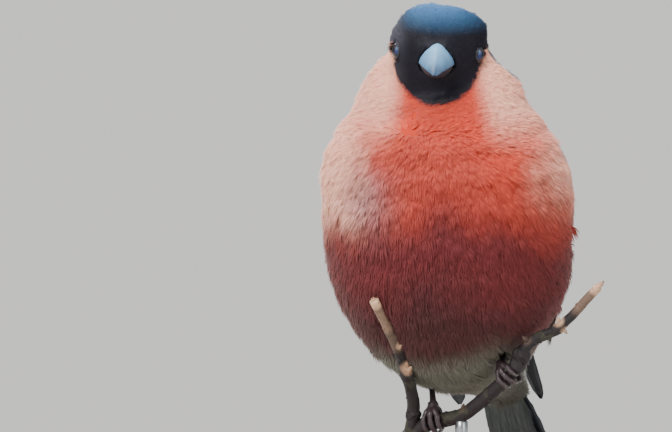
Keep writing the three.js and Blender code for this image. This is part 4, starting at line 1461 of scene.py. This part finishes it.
# Over a wing: places along it and across it, the way in, where the colour is read, the length and the height
EDGE_ROWS = [
    (np.arange(4, 47, 0.62), (-15.0, -13.8, -12.6, -11.6), 0.55, -5, 6.4, 3.2),
    (np.arange(4, 30, 0.75), (14.5, 13.4, 12.3, 11.2), -0.35, 5, 8.2, 4.2),
    (np.arange(0.5, 19, 0.8), np.arange(-9.5, 10.5, 0.72), 0.0, 0, 5.0, 4.1),
]


def wing_edging(name, side, kinds):
    """Body feathers that lap over a folded wing: the flank's, the back's and the shoulder's over its bend"""
    surface = wing_surface(side)
    sets = []
    for us, vs, turn, sample, reach, height in EDGE_ROWS:
        u, v = (grid.ravel() for grid in np.meshgrid(us, vs))
        u = u + draw.uniform(-0.4, 0.4, len(u))
        v = v + draw.uniform(-0.3, 0.3, len(v))
        h = height * (1 - np.clip(u, -9, 60) / 58) - 0.25 + draw.uniform(-0.2, 0.2, len(u))
        h = h - 0.3 * np.clip(3.5 - u, 0, 4)
        place, lie, out = along_surface(surface, u, v, h, 1.0, turn, -height / 58)
        length = reach * draw.uniform(0.85, 1.12, len(u))
        near, _ = plumage(surface(u, v + sample, h))
        far, _ = plumage(surface(u + 4, v + sample, h))
        sets.append((place, lie, out, length, near, far))
    *laid, length, near, far = (np.concatenate(values) for values in zip(*sets))
    hand_laid(name, "rose_feathers", kinds, laid, length, (5, 2), 24, near, far)


def under_tail(kinds):
    """The long, loose feathers under the root of the tail"""
    u, v = (grid.ravel() for grid in np.meshgrid(np.arange(-2, 19, 1.2), np.arange(-4.4, 4.5, 0.7)))
    u = u + draw.uniform(-0.5, 0.5, len(u))
    v = v * (1 - 0.012 * u) + draw.uniform(-0.3, 0.3, len(v))
    h = -3.1 + 0.035 * v * v + 0.02 * u
    place, lie, out = along_surface(tail_surface, u, v, h, 1.0, 0.02 * v, 0.0)
    length = np.interp(u, [-2, 8, 18], [7, 13, 20]) * draw.uniform(0.85, 1.08, len(u))
    # Painted shade: the white under-tail feathers in grey, darker towards their tips
    grey = blend(UNDER_TAIL_SHADED, VENT_SHADED, 1 - ramp(u, 0, 11))
    laid = (place, lie, -out)
    hand_laid("coat_under_tail", "rose_feathers", kinds, laid, length, (2.5, 1.5), 170, grey, grey)


def bill_bristles(kinds):
    """Short dark bristles that lie forwards from the face over the nostrils and the corners of the mouth"""
    places, ways, outs = [], [], []
    for side in (1, -1):
        for turn in np.linspace(8, 172, 46):
            for back in (0.0, 0.55, 1.1):
                a = math.radians(turn)
                far = 1 + 0.12 * back
                height = 5.0 if turn < 90 else 3.4
                x = side * math.sin(a) ** 0.9 * 4.3 * far
                z = BILL_GAPE + math.cos(a) * height * far
                places.append((x, -BILL_ROOT + 0.3 + back + 0.5 * abs(math.cos(a)), z))
                ways.append((side * 0.12, -1, -0.35 * math.cos(a)))
                outs.append((x, -1.2, z - BILL_GAPE))
    places = np.array(places) + draw.uniform(-0.2, 0.2, (len(places), 3))
    lie = unit(turned_ways(np.array(ways), head_frame))
    out = unit(square_to(turned_ways(np.array(outs), head_frame), lie))
    place = moved(places, head_frame)
    nostril = np.exp(-(((np.abs(places[:, 0]) - 3.0) / 1.0) ** 2)) * (places[:, 2] > BILL_GAPE)
    length = (1.3 + 1.5 * nostril) * draw.uniform(0.8, 1.2, len(place))
    laid = (place, lie, out)
    hand_laid("coat_bristles", "black_feathers", kinds, laid, length, (10, 3), 6, CAP_BLACK, CAP_BLACK)


def leg_tufts(kinds):
    """The short feathers round the top of each shin"""
    places, ways, outs = [], [], []
    for _, at, heel in GRIPS:
        ankle = round_limb(at)(FOOT_TURN, ANKLE_HEIGHT, 0)
        top = moved([heel], bird_frame)[0]
        way = unit(ankle - top)
        first = unit(np.cross(way, (1, 0.2, 0)))
        second = np.cross(way, first)
        for turn in round_turns(22):
            for slide in (-2.4, -1.2, 0.0):
                out = first * math.cos(turn) + second * math.sin(turn)
                places.append(top + way * (slide + 0.8) + out * (0.9 - 0.25 * slide))
                ways.append(unit(way + out * 0.1))
                outs.append(out)
    place, lie, out = np.array(places), np.array(ways), np.array(outs)
    out = unit(square_to(out, lie))
    length = draw.uniform(2.2, 3.2, len(place))
    # Painted shade: the white vent colour darkened further, as these feathers lie in shade under the belly
    grey = VENT_SHADED * 0.8
    hand_laid("coat_leg_tufts", "rose_feathers", kinds, (place, lie, out), length, (4, 2), 12, grey, grey)


LOOSE_KINDS = [tuft(23, 0.27, 0.1) for _ in range(6)]
LONG_KINDS = [tuft(37, 0.13, 0.03, 0.6) for _ in range(6)]
BRISTLE_KINDS = [tuft(7, 0.16, 0.06, 1.6) for _ in range(4)]
wing_edging("coat_wing_edge_left", 1, LOOSE_KINDS)
wing_edging("coat_wing_edge_right", -1, LOOSE_KINDS)
under_tail(LONG_KINDS)
bill_bristles(BRISTLE_KINDS)
leg_tufts(LOOSE_KINDS)

# The display stand


def turned_wood():
    material, tree, shader = principled("turned_wood", 0.42, Coat_Weight=0.3, Coat_Roughness=0.2)
    place = stretched(tree, (1, 0.12, 1))
    bands = node(tree, "TexWave", {"Scale": 70, "Distortion": 5, "Detail": 3, "Vector": place})["Fac"]
    fibres = noise(tree, place, 1500)
    share = math_node(tree, "MULTIPLY_ADD", fibres, 0.5, math_node(tree, "MULTIPLY", bands, 0.5))
    mottled(tree, shader, mixed(tree, share, paint(96, 66, 42), paint(158, 118, 80)), 900, 0.15)
    bumped(tree, shader, fibres, 0.2, 0.00005)
    return material


def brushed_steel():
    material, tree, shader = principled("brushed_steel", 0.3, Metallic=1.0)
    lines = noise(tree, stretched(tree, (1, 1, 14)), 900)
    mottled(tree, shader, mixed(tree, lines, paint(150, 152, 154), paint(196, 198, 200)), 400, 0.08)
    feed(tree, shader.inputs["Roughness"], math_node(tree, "MULTIPLY_ADD", lines, 0.2, 0.22))
    bumped(tree, shader, lines, 0.1, 0.00002)
    return material


def lathe(name, profile, at, sides, slot, material, solid):
    """A turned piece: circles of the profile's radii at its heights"""
    turns = round_turns(sides)
    bm = bmesh.new()
    rings = [
        np.stack([at[0] + radius * np.cos(turns), at[1] + radius * np.sin(turns), np.full(sides, height)], 1)
        for radius, height in profile
    ]
    loft(bm, rings)
    finish(name, bm, slot, material, solid)


STAND_TOP = 6.0
BASE_PROFILE = [
    (35.9, 0),
    (36.6, 0.15),
    (36.95, 0.6),
    (37, 1.2),
    (37, 3.6),
    (36.6, 4.1),
    (36.3, 4.35),
    (36.35, 4.6),
    (36.3, 5.2),
    (35.9, 5.75),
    (35.2, 5.98),
    (34.6, 6.0),
    (31.6, 6.0),
    (31.4, 5.8),
    (31.1, 5.8),
    (30.9, 6.0),
    (12, 6.0),
]
STEEL = brushed_steel()
lathe("stand_foot", BASE_PROFILE, (0, 0), 128, "stand_wood", turned_wood(), "stand_base")
ROD = 1.6
for label, top in (("a", FOOT_END - (0, 0, 0.6)), ("b", LIMB[2] - (0, 0, 1.2))):
    profile = [(2.5, STAND_TOP + 0.02), (2.5, 6.9), (2.3, 7.2), (1.75, 7.3), (ROD, 7.5), (ROD, top[2] - 2.2)]
    profile += [(ROD, top[2] - 0.4), (1.2, top[2])]
    lathe(f"stand_post_{label}", profile, top, 40, "stand_metal", STEEL, f"stand_rod_{label}")

# The floor, lights and camera

CAMERA_AWAY = 1.9
PIXEL = 0.25 * MM
PICTURE_WIDE = 672 * PIXEL
PICTURE_MIDDLE = ((336 - 448) * PIXEL, BELLY_LEVEL * MM + (399 - 216) * PIXEL)
LAMPS = [
    ("sky_light", (-0.25, -0.25, 1.1), 1.0, 18.0, (0.95, 0.98, 1.0)),
    ("key_light", (-0.7, -1.0, 0.8), 0.5, 17.0, (1.0, 0.97, 0.93)),
    ("fill_light", (0.9, -0.9, 0.45), 0.7, 5.0, (1.0, 0.95, 0.9)),
    ("rim_light", (-0.2, 1.1, 0.8), 0.7, 12.0, (1.0, 1.0, 1.0)),
]


def studio_floor():
    material, tree, shader = principled("studio_floor", 0.85)
    mottled(tree, shader, paint(214, 211, 205), 6, 0.03)
    bm = bmesh.new()
    bmesh.ops.create_grid(bm, x_segments=2, y_segments=2, size=1.2)
    floor = linked("studio_floor", mesh_of("studio_floor", bm))
    floor.data.materials.append(material)


def studio_air():
    """Soft bluish light from all round, behind which the camera sees a plain pale wall"""
    world = bpy.data.worlds.new("studio_air")
    world.use_nodes = True
    air = world.node_tree
    soft = air.nodes["Background"]
    feed(air, soft.inputs[0], (0.72, 0.76, 0.84))
    feed(air, soft.inputs[1], 0.5)
    seen = node(air, "Background", {0: (0.86, 0.85, 0.83)})[0]
    by_camera = node(air, "LightPath", {})["Is Camera Ray"]
    either = node(air, "MixShader", {0: by_camera, 1: soft.outputs[0], 2: seen})[0]
    feed(air, air.nodes["World Output"].inputs[0], either)
    bpy.context.scene.world = world


def lamps():
    for name, place, size, power, colour in LAMPS:
        light = bpy.data.lights.new(name, "AREA")
        light.size = size
        light.energy = power
        light.color = colour
        lamp = linked(name, light)
        lamp.location = place
        lamp.rotation_euler = (Vector((0, 0, 0.09)) - Vector(place)).to_track_quat("-Z", "Y").to_euler()


def photo_camera():
    lens = bpy.data.cameras.new("photo_camera")
    lens.sensor_width = 36
    lens.lens = 36 * CAMERA_AWAY / PICTURE_WIDE
    lens.clip_end = 50
    camera = linked("photo_camera", lens)
    camera.location = (PICTURE_MIDDLE[0], -CAMERA_AWAY, PICTURE_MIDDLE[1])
    camera.rotation_euler = (math.pi / 2, 0, 0)
    bpy.context.scene.camera = camera


studio_floor()
studio_air()
lamps()
photo_camera()
